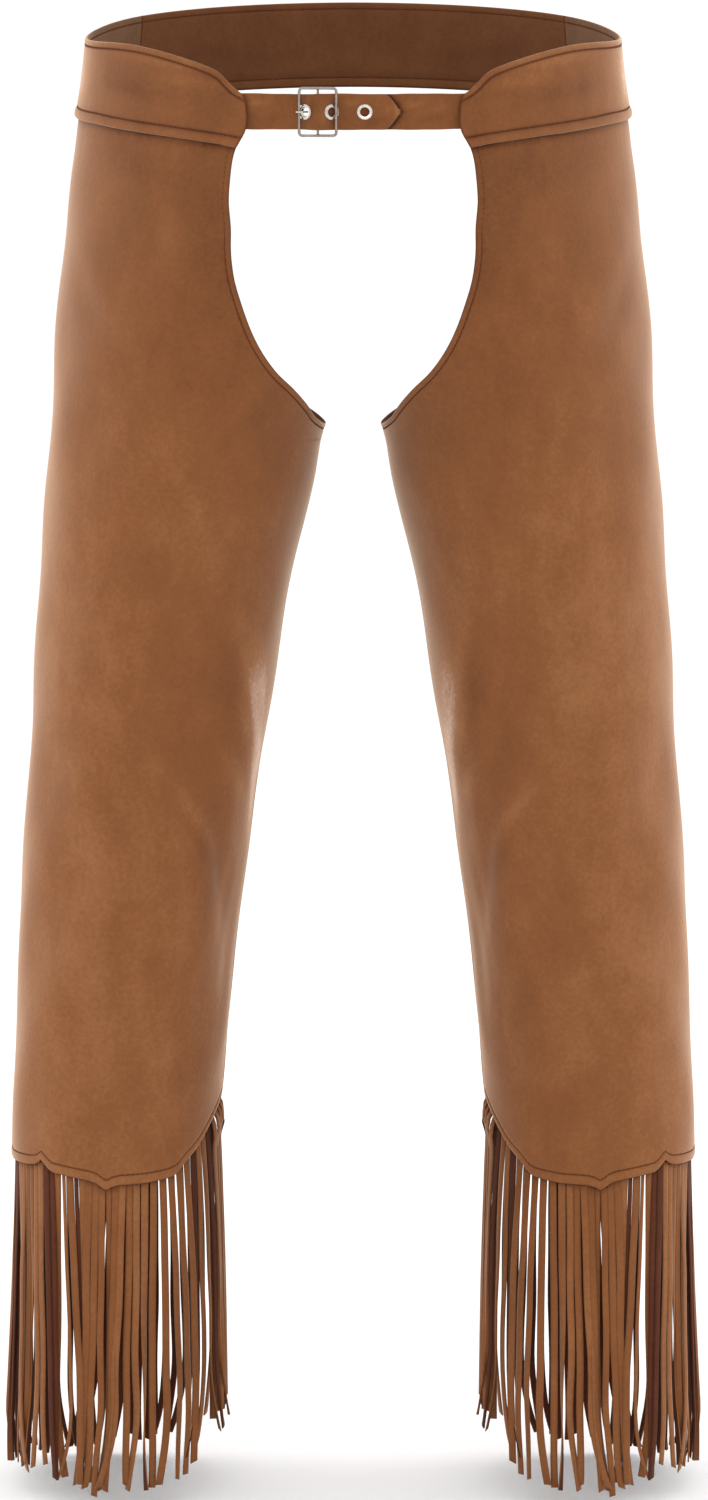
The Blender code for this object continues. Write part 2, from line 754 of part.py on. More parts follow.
def build():
    """Make every piece."""
    clear_scene()
    parts = make_collection(COLLECTION)
    cutters = make_collection(CUTTERS)
    suede = make_material("suede", SUEDE, 0.92, 0.0)
    wrong_side = make_material("suede_wrong_side", SUEDE_BACK, 0.95, 0.0)
    steel = make_material("steel", STEEL, 0.32, 1.0)
    for side, word in ((1, "left"), (-1, "right")):
        leg = add_object("leg_" + word, leg_mesh("leg_" + word, side), parts, suede)
        thicken(leg, LEG_WALL, -1.0)
        yoke_shape = grid_mesh("yoke_" + word, band_grid(yoke_angles()), side)
        yoke = add_object("yoke_" + word, yoke_shape, parts, suede)
        thicken(yoke, YOKE_WALL, -1.0)
        fringe = add_object("fringe_" + word, fringe_mesh("fringe_" + word, side), parts, suede)
        thicken(fringe, FRINGE_WALL, -1.0)
    back = add_object("waistband_back", back_band_mesh("waistband_back"), parts, wrong_side)
    thicken(back, YOKE_WALL, -1.0)
    tongue_strap(parts, cutters, suede)
    holder_strap(parts, cutters, suede)
    buckle_frame(parts, cutters, steel)
    buckle_prong(parts, steel)
    for name, along in EYELETS:
        eyelet(name, along, parts, steel)


build()
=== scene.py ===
"""Looks of the fringed suede chaps: cloth shells, stitching, fringe, materials, camera and light.

Frame: metres, +Z up, the wearer faces -Y, origin at the centre of the waist. The tables describe the
wearer's left side (+X); the right side is its mirror image. Angles are degrees round a section, 0 at
the outer side, negative towards the front and positive towards the back.
"""

import math

import bmesh
import bpy
import numpy as np
from mathutils import Matrix, Vector


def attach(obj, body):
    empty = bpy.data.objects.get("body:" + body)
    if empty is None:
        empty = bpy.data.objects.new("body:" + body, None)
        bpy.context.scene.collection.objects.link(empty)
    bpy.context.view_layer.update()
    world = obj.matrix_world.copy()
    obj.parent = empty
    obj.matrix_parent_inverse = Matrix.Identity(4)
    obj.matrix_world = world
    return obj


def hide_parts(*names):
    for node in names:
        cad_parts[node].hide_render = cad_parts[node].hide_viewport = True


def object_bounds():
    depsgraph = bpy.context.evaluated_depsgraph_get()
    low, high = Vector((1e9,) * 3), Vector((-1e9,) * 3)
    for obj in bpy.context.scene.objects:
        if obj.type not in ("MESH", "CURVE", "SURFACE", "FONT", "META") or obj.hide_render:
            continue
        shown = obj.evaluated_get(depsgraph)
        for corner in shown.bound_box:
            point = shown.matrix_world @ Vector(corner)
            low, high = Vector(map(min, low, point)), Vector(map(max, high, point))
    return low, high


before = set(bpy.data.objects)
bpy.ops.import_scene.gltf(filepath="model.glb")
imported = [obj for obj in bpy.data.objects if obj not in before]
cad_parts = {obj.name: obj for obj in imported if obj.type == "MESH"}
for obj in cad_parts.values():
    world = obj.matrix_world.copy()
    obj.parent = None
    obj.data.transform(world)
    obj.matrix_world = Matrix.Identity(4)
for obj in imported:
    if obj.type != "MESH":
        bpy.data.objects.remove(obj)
CAD_LOW, CAD_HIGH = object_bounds()

MM = 0.001
SIDES = ((1, "left"), (-1, "right"))
MIRROR = np.array((-1.0, 1.0, 1.0))


def table(names, *rows, unit=1.0):
    """A table's columns by name."""
    return dict(zip(names.split(), np.array(rows, float).T * unit))


# Camera: the photograph's, far off and a little above the waist, looking slightly down
CAMERA_PLACE = (0.0005, -4.2, 0.125)
CAMERA_TILT = 7.956
CAMERA_LENS = 147.5

# Stage: a wide floor, white surroundings and soft boxes: place, target, size and power
FLOOR_GAP = 2.0 * MM
FLOOR_CELLS = 40
FLOOR_HALF = 70.0
SKY_STRENGTH = 1.10
LIGHTS = (
    ("soft_left", (-2.6, 0.6, 0.0), (0.0, 0.0, -0.4), (1.4, 2.4), 30.0),
    ("soft_right", (2.6, 0.6, 0.0), (0.0, 0.0, -0.4), (1.4, 2.4), 30.0),
    ("soft_front", (0.0, -5.8, 1.0), (0.0, 0.0, -0.5), (2.6, 1.6), 60.0),
)

# Cloth walls and the gap between layers
GAP = 0.3 * MM
SEAM_GAP = 0.12 * MM
LEG_WALL = 1.6 * MM
STRAP_WALL = 1.4 * MM
FRINGE_WALL = 0.9 * MM

# The garment's outer surface. outer: x of the outer side; mid: x of the section's centre;
# front, back: depths from the side line; rise: how much higher the ring stands at the back
# than at the side; shape: how much of the hem's cut is in the level.
SURFACE = table(
    "level outer mid front back rise shape",
    (-0.744, 0.2386, 0.1654, 0.0725, 0.0755, 0, 1), (-0.705, 0.2367, 0.1631, 0.0735, 0.0765, 0, 0.7),
    (-0.665, 0.2344, 0.1606, 0.0755, 0.0785, 0, 0.35), (-0.609, 0.2316, 0.1569, 0.079, 0.082, 0, 0.05),
    (-0.553, 0.2291, 0.1523, 0.0825, 0.085, 0, 0), (-0.497, 0.2255, 0.1468, 0.0865, 0.0865, 0, 0),
    (-0.441, 0.222, 0.141, 0.091, 0.0875, 0, 0), (-0.386, 0.2189, 0.1352, 0.0945, 0.091, 0, 0),
    (-0.33, 0.2147, 0.1278, 0.098, 0.098, 0, 0), (-0.275, 0.2105, 0.119, 0.103, 0.106, 0, 0),
    (-0.2352, 0.2075, 0.113, 0.108, 0.113, 0, 0), (-0.22, 0.2061, 0.109, 0.1105, 0.1155, 0, 0),
    (-0.193, 0.2038, 0.0995, 0.115, 0.12, 0, 0), (-0.165, 0.2016, 0.085, 0.1195, 0.1245, 0.0015, 0),
    (-0.138, 0.1993, 0.066, 0.124, 0.1285, 0.004, 0), (-0.111, 0.1964, 0.044, 0.128, 0.131, 0.008, 0),
    (-0.0835, 0.1935, 0.022, 0.1305, 0.132, 0.012, 0), (-0.056, 0.19, 0.006, 0.131, 0.1315, 0.016, 0),
    (-0.029, 0.187, 0, 0.13, 0.13, 0.018, 0), (0, 0.1826, 0, 0.1275, 0.1275, 0.0185, 0),
    (0.03, 0.1795, 0, 0.125, 0.125, 0.019, 0), (0.06, 0.1785, 0, 0.1235, 0.1225, 0.019, 0),
)

# Edges of the open front and seat, from a leg's top edge to the crotch
EDGES = table(
    "level front back",
    (-0.014, 66.9, 54.6), (-0.017, 66.6, 57), (-0.0205, 66.2, 59.6), (-0.0245, 65.6, 61.8),
    (-0.029, 65.2, 63.2), (-0.045, 65, 64), (-0.064, 66.3, 65), (-0.0835, 69.8, 67), (-0.103, 74, 70.5),
    (-0.122, 79.6, 75), (-0.141, 87.2, 80.5), (-0.159, 95.8, 87.5), (-0.176, 105.4, 95.5),
    (-0.192, 116.8, 105.5), (-0.206, 130.5, 116), (-0.2192, 144.5, 126.5), (-0.2262, 152.2, 139),
    (-0.2312, 161.5, 152.6), (-0.2342, 170.7, 166.3), (-0.2352, 180, 180),
)
CLOSED = 180.0
TURN_STEP = 0.05
LEVEL_STEP = 0.0001
WELD = 0.005 * MM
EDGE_STEP = 3.0 * MM
LEG_STEP = 4.4 * MM
LEG_COLUMNS = 136

# Cut of the hem: how far its edge stands above the lowest level, by angle
HEM_LEVEL = -0.7440
HEM = table(
    "angle height",
    (-180, 0.0435), (-172, 0.0395), (-163, 0.0318), (-152, 0.0212), (-142, 0.011), (-132, 0.0024),
    (-127, -0.004), (-122, -0.0062), (-108.6, -0.0084), (-94, -0.0092), (-90, -0.0105), (-86.2, -0.0134),
    (-82.5, -0.0088), (-78, -0.0066), (-67.6, -0.0047), (-54.5, -0.0024), (-51, 0.0018), (-48.1, 0.005),
    (-45.5, 0.0022), (-43, 0.001), (-39, 0.0002), (-14, -0.002), (0, -0.001), (30, -0.008), (60, -0.018),
    (90, -0.011), (120, -0.006), (150, 0.012), (180, 0.0435),
)

# Folds of a leg: angle, level, half sizes of both, drift round over the fold's height, and depth in mm
MAIN_FOLDS = (
    (-152, -0.415, 20, 0.055, 10, 3), (-122, -0.44, 18, 0.07, -8, -2.5), (-150, -0.56, 16, 0.08, 6, -2.5),
    (-118, -0.59, 22, 0.09, 8, 1.8), (-45, -0.135, 20, 0.05, 12, 1.5), (-75, -0.33, 24, 0.09, -10, 1.6),
    (-30, -0.48, 24, 0.08, 10, -1.8), (118, -0.42, 26, 0.045, 14, 3), (96, -0.48, 28, 0.05, -12, -2.5),
    (60, -0.4, 24, 0.06, 10, -2), (75, -0.2, 24, 0.05, 10, 2), (140, -0.6, 22, 0.08, -8, 2),
    (45, -0.62, 26, 0.08, 10, 1.6),
)
SOFT_FOLDS = (
    (-146, -0.505, 7, 0.045, 12, 1.1), (-138, -0.52, 6, 0.05, 12, -1), (-160, -0.6, 7, 0.06, -4, -1),
    (-152, -0.45, 8, 0.024, 20, 0.9), (-128, -0.38, 10, 0.03, 22, -0.8), (-100, -0.64, 12, 0.04, 8, 0.7),
    (-48, -0.15, 8, 0.03, 14, 0.8), (-36, -0.15, 8, 0.034, 14, -0.7), (-95, -0.12, 8, 0.035, -10, 0.6),
    (-20, -0.56, 10, 0.06, 6, 0.8), (-70, -0.56, 12, 0.05, 10, -0.8), (104, -0.395, 9, 0.022, 26, 1.3),
    (112, -0.44, 8, 0.02, 24, -1.3), (80, -0.425, 10, 0.02, -22, 1.1), (130, -0.36, 10, 0.03, 16, 0.9),
    (52, -0.25, 10, 0.04, 10, 0.8), (90, -0.16, 10, 0.03, 12, -0.8), (20, -0.3, 12, 0.05, -8, 0.7),
    (100, -0.64, 12, 0.05, 8, -0.9),
)
WAVE_SEED = 7
WAVES = 26
WAVE_TURNS = (1, 9)
WAVE_CLIMB = (10.0, 60.0)
WAVE_DEPTH = 0.16 * MM
WAVES_START = -0.036
WAVES_FULL = -0.070

# Relief beside a turned and stitched edge: distance from the edge and height over the cloth,
# in mm
EDGE_RELIEF = table(
    "inside height",
    (0, -0.55), (0.4, -0.05), (1.1, 0.24), (2.1, 0.3), (3.1, 0.18), (3.7, -0.12), (4.2, -0.45),
    (4.7, -0.2), (5.7, 0.1), (8, 0.05), (11, 0), unit=MM,
)
EDGE_STITCHES = 4.2 * MM
FAINT_ABOVE = -0.080
PLAIN_BELOW = -0.150
FAINT = 0.30
HEM_RELIEF = table(
    "inside height",
    (0, -0.55), (0.5, -0.05), (1.4, 0.3), (3.3, 0.38), (5.2, 0.25), (6.1, -0.12), (6.6, -0.45),
    (7.1, -0.2), (8.2, 0.1), (11, 0.05), (14, 0), unit=MM,
)
HEM_STITCHES = 6.6 * MM
HEM_POINTS = 721
# Painted light and shade on a leg's nap: how much the soft folds count, the fold depth that makes one step
# of tone, painted shade in stitched grooves, painted highlight on the raised cloth beside them, and painted
# shade on the leg just under the yoke's lower edge with how far it reaches
SOFT_FOLD_SHADE_SHARE = 1.6
FOLD_SHADE_DEPTH = 7 * MM
GROOVE_SHADE = 2.2
RIDGE_HIGHLIGHT = 0.7
UNDER_YOKE_SHADE = -1.8
UNDER_YOKE_SHADE_REACH = 3.0 * MM

# Lapped seam down the inner leg, below the crotch: distance behind the inner line, and height,
# in mm
SEAM_RELIEF = table(
    "inside height",
    (-1.6, 0), (-0.7, 0.05), (0, -0.4), (0.7, 0.26), (2, 0.34), (3.4, 0.26), (4, -0.32), (4.8, 0.02),
    (6.5, 0), unit=MM,
)
SEAM_STITCHES = 4.0 * MM
SEAM_FADE = 9.0 * MM
SEAM_POINTS = 300
SEAM_COLUMNS = (0.45, 0.9, 1.4, 2.0, 2.6, 3.2, 3.9, 4.8)

# Patches of nap and of painted light and shade on a leg; the painted ones include a broad shade over the
# thigh and a lighter knee where the light falls, sheen highlights at the inner knee, light and shade on the
# folds below it, and shade along the inner thigh. Place, half sizes, drift, and how light (+) or dark (-)
# it lies
NAP_AND_PAINTED_LIGHT_PATCHES = (
    (-90, -0.06, 130, 0.15, 0, -0.95), (-90, -0.37, 130, 0.09, 0, 0.3), (-147, -0.42, 5, 0.034, 9, 1.5),
    (-143, -0.436, 3.6, 0.02, 5, 1), (-156, -0.41, 8, 0.03, 12, 1.25), (-162, -0.46, 7, 0.044, 8, 1.75),
    (-158, -0.47, 4, 0.026, 6, 1), (-149, -0.482, 5, 0.016, 6, 1.3), (-168, -0.5, 8, 0.06, 4, 1.25),
    (-172, -0.29, 14, 0.05, 0, -1.3), (-172, -0.34, 12, 0.06, 0, -1), (-22, -0.06, 12, 0.05, 4, 0.6),
    (-135, -0.42, 9, 0.04, 10, -0.6), (-124, -0.501, 5, 0.027, 17, 0.8),
    (-133, -0.53, 8, 0.03, 12, -0.55), (-148, -0.566, 4, 0.045, -3, 1.2), (-159, -0.6, 6, 0.06, -4, 1.1),
    (-110, -0.4, 22, 0.06, 12, -0.5), (-80, -0.33, 12, 0.03, 8, -0.3),
    (-110, -0.595, 20, 0.055, 8, -0.45), (-96, -0.68, 18, 0.02, 8, -0.3), (-70, -0.56, 16, 0.09, 8, 0.45),
    (-46, -0.62, 16, 0.1, 4, 0.4), (-52, -0.075, 5, 0.03, 8, 0.55), (-60, -0.12, 5, 0.03, 8, 0.4),
    (-41, -0.048, 8, 0.014, 6, -0.35), (-85, -0.11, 14, 0.06, 10, -0.5),
    (-108, -0.24, 22, 0.06, 8, -0.45), (-66, -0.27, 12, 0.08, -10, 0.15), (-34, -0.39, 9, 0.09, 3, 0.55),
    (100, -0.4, 18, 0.03, 20, 0.6), (70, -0.47, 22, 0.06, 10, -0.45), (60, -0.2, 22, 0.06, 8, 0.4),
    (92, -0.13, 10, 0.03, 12, -0.4), (118, -0.3, 12, 0.05, -10, 0.45), (50, -0.33, 14, 0.06, 10, -0.35),
    (120, -0.6, 22, 0.07, -8, 0.4), (150, -0.5, 10, 0.06, 6, -0.45),
)

# Patches of nap on a yoke and on the back waistband; the strong light one at the outer side is a painted
# sheen highlight
YOKE_PATCHES = (
    (-46, 0.012, 9, 0.005, 5, 0.9), (-54, 0, 8, 0.005, 6, 0.8), (-40, -0.008, 9, 0.006, 4, -0.6),
    (-62, 0.003, 4, 0.01, 1, -0.7), (-33, 0.018, 9, 0.005, 4, 0.6), (-30, -0.001, 7, 0.008, 2, -0.5),
    (-14, -0.002, 12, 0.018, 2, 0.6), (-3, 0.004, 11, 0.034, 0, 2.6), (-20, -0.016, 10, 0.005, 4, 0.4),
    (12, 0.006, 9, 0.012, 4, -0.5), (26, 0.01, 7, 0.01, -4, 0.6), (48, -0.004, 9, 0.008, 6, 0.6),
    (62, 0.012, 10, 0.008, -5, -0.5), (80, 0.004, 9, 0.01, 5, 0.5),
)

# Yokes and back waistband: how far the lower edge rises, in mm, and the top edge
YOKE_LOWER = -0.0290
LOWER_RISE = table(
    "angle rise",
    (-66.9, 2.3), (-62, 4), (-56.5, 5.2), (-50, 6.1), (-43, 6.5), (-30, 6.5), (-23, 6.2), (-17, 5.2),
    (-11, 4.1), (0, 2.9), (14, 1.3), (32, 0), (90, 0),
)
SEAM_ANGLE = 36.0
TOP_EDGE = table(
    "angle level",
    (-66.9, 0.0095), (-65.3, 0.0125), (-63, 0.0175), (-60.7, 0.0225), (-56.5, 0.027), (-52, 0.0299),
    (-45, 0.033), (-37, 0.0345), (-28, 0.0335), (-18, 0.0308), (0, 0.027), (35, 0.0285), (90, 0.029),
)
YOKE_FRONT_END = -66.9
BACK_MIDDLE = 90.0
BAND_COLUMN_STEP = 1.15
MIDDLE_ROWS = [k / 14 for k in range(1, 14)]
BAND_POINTS = 200
END_SPAN = 1.0
END_COLUMNS = (0.0, 0.12, 0.26, 0.45, 0.7)
END_STITCH = 0.6
END_ROUND = 0.9 * MM
END_LEAST = 0.3
SHADED_END_COLUMNS = 2

# Slot of the sewn grooves' material, a darker copy of the suede with little sheen that paints shade in the
# grooves, on turned edges and at the bands' ends, and where it is used
SEAM_SHADE_SLOT = 2
SEAM_SHADE_HEIGHT = -0.10 * MM
SEAM_SHADE_TONE = -0.85
# Painted shade that darkens the yokes and back waistband, and the belt, as a whole
BAND_SHADE = -0.7
BELT_SHADE = -0.6

# Section of a yoke, once round from its lower edge: edge measured from, distance and height over the leg in
# mm, and its painted light or shade: painted shade under the lower edge and in the stitched grooves on both
# faces, painted highlight on the rolled ridges
LOWER_TURN = (
    ("lower", 0.4, 0.35, -1.5), ("lower", 0, 1.1, -1.3), ("lower", 0.05, 2.1, -0.8),
    ("lower", 0.7, 2.9, 0.2), ("lower", 1.8, 3.3, 0.6), ("lower", 3.3, 3.38, 0.5),
    ("lower", 4.7, 3.16, 0.2), ("lower", 5.8, 2.62, -0.55), ("lower", 6.4, 1.95, -1.15),
    ("lower", 7, 1.86, -1.2), ("lower", 7.7, 2.12, -0.6), ("lower", 9.2, 2.34, 0),
)
UPPER_TURN = (
    ("upper", 6.4, 2.32, 0), ("upper", 5.2, 2.18, -0.55), ("upper", 4.3, 1.8, -1.2),
    ("upper", 3.6, 2.12, -0.6), ("upper", 2.4, 2.52, 0.3), ("upper", 1.1, 2.42, 0.8),
    ("upper", 0.3, 1.9, 0.8), ("upper", 0, 1.3, 0.5), ("upper", 0.25, 0.72, 0.2), ("upper", 1, 0.32, 0.1),
)
INNER_UPPER = (
    ("upper", 3.6, 0.24, 0.3), ("upper", 4.4, 0.72, -1.6), ("upper", 5.2, 0.34, -0.2),
)
INNER_LOWER = (
    ("lower", 7.2, 0.34, -0.2), ("lower", 6.4, 0.72, -1.6), ("lower", 5.6, 0.32, 0.4),
    ("lower", 2, 0.3, 0.5),
)
OUTER_FACE = 2.30
INNER_FACE = 0.30
SECTION_MIDDLE = 1.3
SECTION_INSIDE = 1.0
UPPER_STITCHES = 4.3
LOWER_STITCHES = 6.7

# Front end of a yoke: its edge's angle by level, and how far in the columns follow it
NOSE = table(
    "level angle",
    (-0.029, -65.2), (-0.0265, -65.6), (-0.0217, -66.3), (-0.0185, -66.9), (-0.0123, -67.5),
    (-0.0012, -67.4), (0.006, -66.9), (0.0095, -66.2),
)
NOSE_REACH = 7.0

# Belt: x of the buckle's bar, height of the belt's middle, and paths across the front in mm.
# along: distance from the bar towards the wearer's left; out: distance in front of the waist's surface.
BELT_Z = -0.01925
BELT_HALF = 11.85 * MM
BAR_X = -0.0232
TONGUE_PATH = (
    (-62.8, -2.3), (-49.5, -2.2), (-36, -1.5), (-24, -1.1), (-16.5, -1.4), (-14.2, -1.35), (-12.9, -1),
    (-8.1, 1.88), (-3.4, 4.7), (-1.8, 5.4), (0, 5.7), (1.8, 5.4), (3.4, 4.7), (8.7, 1.52), (12.9, -1),
    (14.2, -1.35), (16.5, -1.2), (21, -0.1), (24.5, 0.95), (36.5, 1.1), (44.5, 1.2), (48, 1.35),
    (51, 1.5), (53, 1.65), (54.1, 1.7),
)
TIP_START = 44.5
TIP_LENGTH = 9.6
TIP_POWER = 1.35
TIP_HALF = 1.6 * MM
HOLDER_PATH = (
    (109.2, -2.3), (96, -2.2), (78, -1.5), (60, -1.3), (40, -1.6), (27, -1.6), (21, -2.5), (16.5, -3.4),
    (12.9, -3.8), (8, -1.02), (3.5, 1.53),
)
RETURN_PATH = (
    (12.9, -6), (16.5, -5.6), (21, -4.6), (27, -3.7), (34, -3.6),
)
BAR_OUT = 1.45
LOOP_RADIUS = 1.8
LOOP_ANGLES = (59.0, 90.0, 120.0, 150.0, 180.0, 210.0, 240.0, 270.0, 287.0)
SLOT_ALONG = -0.6
SLOT_REACH = 3.4
SLOT_HALF = 2.3
EYELET_PLACES = (-8.1, 8.7, 30.8)
EYELET_HOLE = 3.6 * MM
HOLE_DEPTH = 4 * STRAP_WALL
HOLE_SIDES = 32
STRAP_STEP = 0.8
SLOPE_STEP = 1.0

# Section of a strap: share of the half width, and share of the half wall
STRAP_SECTION = (
    (0, 0.94), (0.15, 0.95), (0.3, 0.97), (0.45, 1), (0.62, 1.02), (0.78, 1.04), (0.905, 1),
    (0.965, 0.78), (0.995, 0.38),
)

# How a strap's edges wander: share of the half width, turns in each mm, and start
STRAP_WAVES = (
    (0.012, 0.11, 0.4), (0.005, 0.31, 1.9),
)

# Patches of nap and of painted light and shade on the straps: place along the belt in mm, height, half
# sizes, drift and tone; heights are above the belt's middle. The painted ones are light and shade on the
# tongue's bulge over the bar, shade where the tongue runs down to the frame's sides and beside the yokes'
# front ends, and a highlight at the tongue's point
TONGUE_PATCHES = (
    (4.5, -0.001, 3, 0.006, 1, 1), (-3.5, 0.002, 2.2, 0.008, 0.6, -0.8), (11, 0, 1.6, 0.012, 0.2, -1.3),
    (-11.5, 0, 1.6, 0.012, 0.2, -1.3), (24, 0.006, 6, 0.003, 3, 0.7), (38, -0.006, 7, 0.003, 3, -0.6),
    (46, 0.002, 4, 0.005, 2, 0.6), (51.8, 0, 2.2, 0.008, 0, 1.3), (-40, 0.006, 9, 0.003, 4, 0.6),
    (-30, -0.005, 7, 0.004, 3, -0.5), (-50, 0, 2, 0.012, 0.3, -1.2),
)
HOLDER_PATCHES = (
    (64, 0.005, 7, 0.003, 4, 0.8), (72, -0.005, 8, 0.003, 4, -0.6), (82, 0.003, 6, 0.003, 3, 0.6),
    (97.5, 0, 2, 0.012, 0.3, -1.2),
)
# Painted shadow on the buckle strap beside the tongue's point: how dark, and how far it reaches in mm
TIP_SHADE = -2.6
TIP_SHADE_REACH = 3.6

# Fringe. One strip is cut into strands; the strands of the inner part hang further apart.
STRAND_PITCH = 4.86 * MM
STRAND_LENGTH = 0.2150
STRAND_WIDTH = 4.8 * MM
INNER_WIDE = 0.28
STRAND_ROWS = 30
STRAND_SHARES = (-0.5, -0.2, 0.2, 0.5)
FRINGE_SEED = 21
ROUND_STEPS = 1441
WIDTH_SPREAD = (0.90, 1.10)
LENGTH_SPREAD = (-3.0, 2.0)
CUP_SPREAD = (-0.25, 0.45)
TONE_SPREAD = (-0.55, 0.45)
LAYER = 1.3 * MM
LAYER_RAMP = 3.0
FLARE = 2.5 * MM
SIDE_FLARE = 4.6 * MM
SIDE_TUCK = 8.5 * MM
TUCK_START = 0.84
TUCK_POWER = 4
CURL = 4
SWAY = 6.0 * MM
SWAY_TURNS = (2, 3, 5, 7)
SWAY_SIZES = (0.2, 0.6)
SWAY_RAMP = 1.6
SWAY_TOP = 0.55
SWAY_LOW = 0.45
WOBBLE_TURNS = (1.5, 3.0, 5.0)
WOBBLE_SIZES = (0.2, 0.9)
OWN_SWING = 1.2
OWN_BEND = 0.35
OWN_LAYER = 0.3
TWIST = 16.0
TURNED_SHARE = 0.17
TURNED = 78.0
END_BEND = 8.0 * MM
END_START = 0.70
GROUP_MOST = 4
GROUP_BEND = 0.7
GROUP_SWING = 3.8 * MM
GROUP_TURN = 15.0
INNER_FROM = 145.0
CORNER_FROM = 160.0
CORNER_BULGE = 4.5 * MM
CORNER_AT = 0.055
CORNER_HALF = 0.045
CORNER_RAMP = 30
CORNER_SHARES = (0.3, 1.0)

# Where the strands hang apart: share of the way across from the inner side, half width, how far
# in mm, and whether the back strands part too
PARTS = (
    (0.94, 0.04, 5, 1), (0.735, 0.04, 15, 1), (0.6, 0.04, 4, 0), (0.4, 0.04, 5, 1),
)

# Front strands that hang with their dark wrong side out, by the same share
FLIPPED = (0.977, 0.835, 0.803, 0.690, 0.105, 0.046)
BACK_FLIPPED = (0.012, 0.052, 0.130, 0.300)
FLIP_REACH = 0.015

# Where the outer part of the fringe lets light through: a narrow front strand, and none behind it as seen
# from the front
SLITS = (0.735, 0.675)
SLIT_REACH = 0.017
SLIT_WIDTH = 0.55
BEHIND = (1.036, 0.0227)
CUT_SLANT = 2.6 * MM

# How far apart the strands stand, by angle, as a share of the usual
SPACING = table(
    "angle share",
    (0, 1), (100, 1), (112, 1.42), (160, 1.36), (170, 1), (180, 1),
)

# Stitches: how they lie over the leg's surface
STITCH_DEPTH = -0.28 * MM
BAND_STITCH_OUT = 2.02 * MM
BAND_STITCH_IN = 0.62 * MM
SEAM_STITCH_OUT = 2.36 * MM
SEAM_STITCH_GAP = 2.2
STITCH_LENGTH = 2.5 * MM
STITCH_PITCH = 3.4 * MM
THREAD_RADIUS = 0.24 * MM
THREAD_SIDES = 6
THREAD_RINGS = 5
THREAD_LIFT = 1.1
THREAD_END = 0.55
THREAD_SWELL = 0.45

# Colours of the suede, dark, middle and light, the painted sheen highlight that tops each, and of its sheen
OUTER_TONES = ((0.118, 0.038, 0.0115, 1), (0.196, 0.0705, 0.0230, 1), (0.280, 0.120, 0.048, 1))
OUTER_HIGHLIGHT = (0.660, 0.480, 0.400, 1)
# Tones of the painted-shade material in the grooves and on the turned edges
SEAM_SHADE_TONES = ((0.108, 0.0330, 0.0105, 1), (0.150, 0.0490, 0.0160, 1), (0.200, 0.074, 0.027, 1))
# Share of the dark tone for the painted shade at the bottom of each suede's tones
DEEP_SHADE = 0.45
NOISE_ROUGHNESS = 0.55
OUTER_SHEEN = (1.0, 0.73, 0.54, 1)
WRONG_TONES = ((0.042, 0.0102, 0.0042, 1), (0.068, 0.0174, 0.0070, 1), (0.105, 0.031, 0.013, 1))
WRONG_HIGHLIGHT = (0.16, 0.07, 0.035, 1)
INSIDE_TONES = ((0.098, 0.034, 0.0125, 1), (0.152, 0.056, 0.0205, 1), (0.225, 0.095, 0.040, 1))
INSIDE_HIGHLIGHT = (0.30, 0.15, 0.08, 1)
LINING_TONES = ((0.110, 0.052, 0.026, 1), (0.172, 0.086, 0.045, 1), (0.235, 0.130, 0.078, 1))
LINING_HIGHLIGHT = (0.34, 0.22, 0.15, 1)
WRONG_SHEEN = (0.80, 0.60, 0.46, 1)


def smooth(x, xs, ys):
    """Values at x of a curve with continuous slope through the rising points xs, ys."""
    x = np.clip(np.asarray(x, float), xs[0], xs[-1])
    i = np.clip(np.searchsorted(xs, x, side="right") - 1, 0, len(xs) - 2)
    slopes = np.gradient(ys, xs)
    h = xs[i + 1] - xs[i]
    t = (x - xs[i]) / h
    start = (2 * t**3 - 3 * t**2 + 1) * ys[i] + (t**3 - 2 * t**2 + t) * h * slopes[i]
    end = (3 * t**2 - 2 * t**3) * ys[i + 1] + (t**3 - t**2) * h * slopes[i + 1]
    return start + end


def ramp(x, start, end):
    """0 before start, 1 after end, smooth between."""
    t = np.clip((np.asarray(x, float) - start) / (end - start), 0.0, 1.0)
    return t * t * (3 - 2 * t)


def unit(vectors):
    """Vectors of length one."""
    return vectors / np.linalg.norm(vectors, axis=-1, keepdims=True)


def lengths_along(places):
    """Distance along a line at each of its points."""
    return np.concatenate(([0.0], np.cumsum(np.linalg.norm(np.diff(places, axis=0), axis=1))))


def at_level(level, name):
    """A surface column's values at some levels."""
    return smooth(level, SURFACE["level"], SURFACE[name])


def bumps(angle, level, rows, scale=1.0):
    """Sum of a table's soft bumps."""
    total = np.zeros(np.broadcast(angle, level).shape)
    for place, height, half_angle, half_level, drift, depth in rows:
        up = (level - height) / half_level
        round_it = (angle - place - drift * up + CLOSED) % (2 * CLOSED) - CLOSED
        total = total + depth * scale * np.exp(-up * up - (round_it / half_angle) ** 2)
    return total


def waves(angle, level):
    """Slight unevenness of the cloth, the same on every run."""
    rng = np.random.default_rng(WAVE_SEED)
    total = np.zeros(np.broadcast(angle, level).shape)
    for _ in range(WAVES):
        turns = rng.integers(*WAVE_TURNS)
        climb = rng.uniform(*WAVE_CLIMB) * rng.choice((-1.0, 1.0))
        phase = rng.uniform(0.0, math.tau)
        total = total + np.sin(turns * np.radians(angle) + climb * level + phase)
    return WAVE_DEPTH * total * (1.0 - ramp(level, WAVES_FULL, WAVES_START))


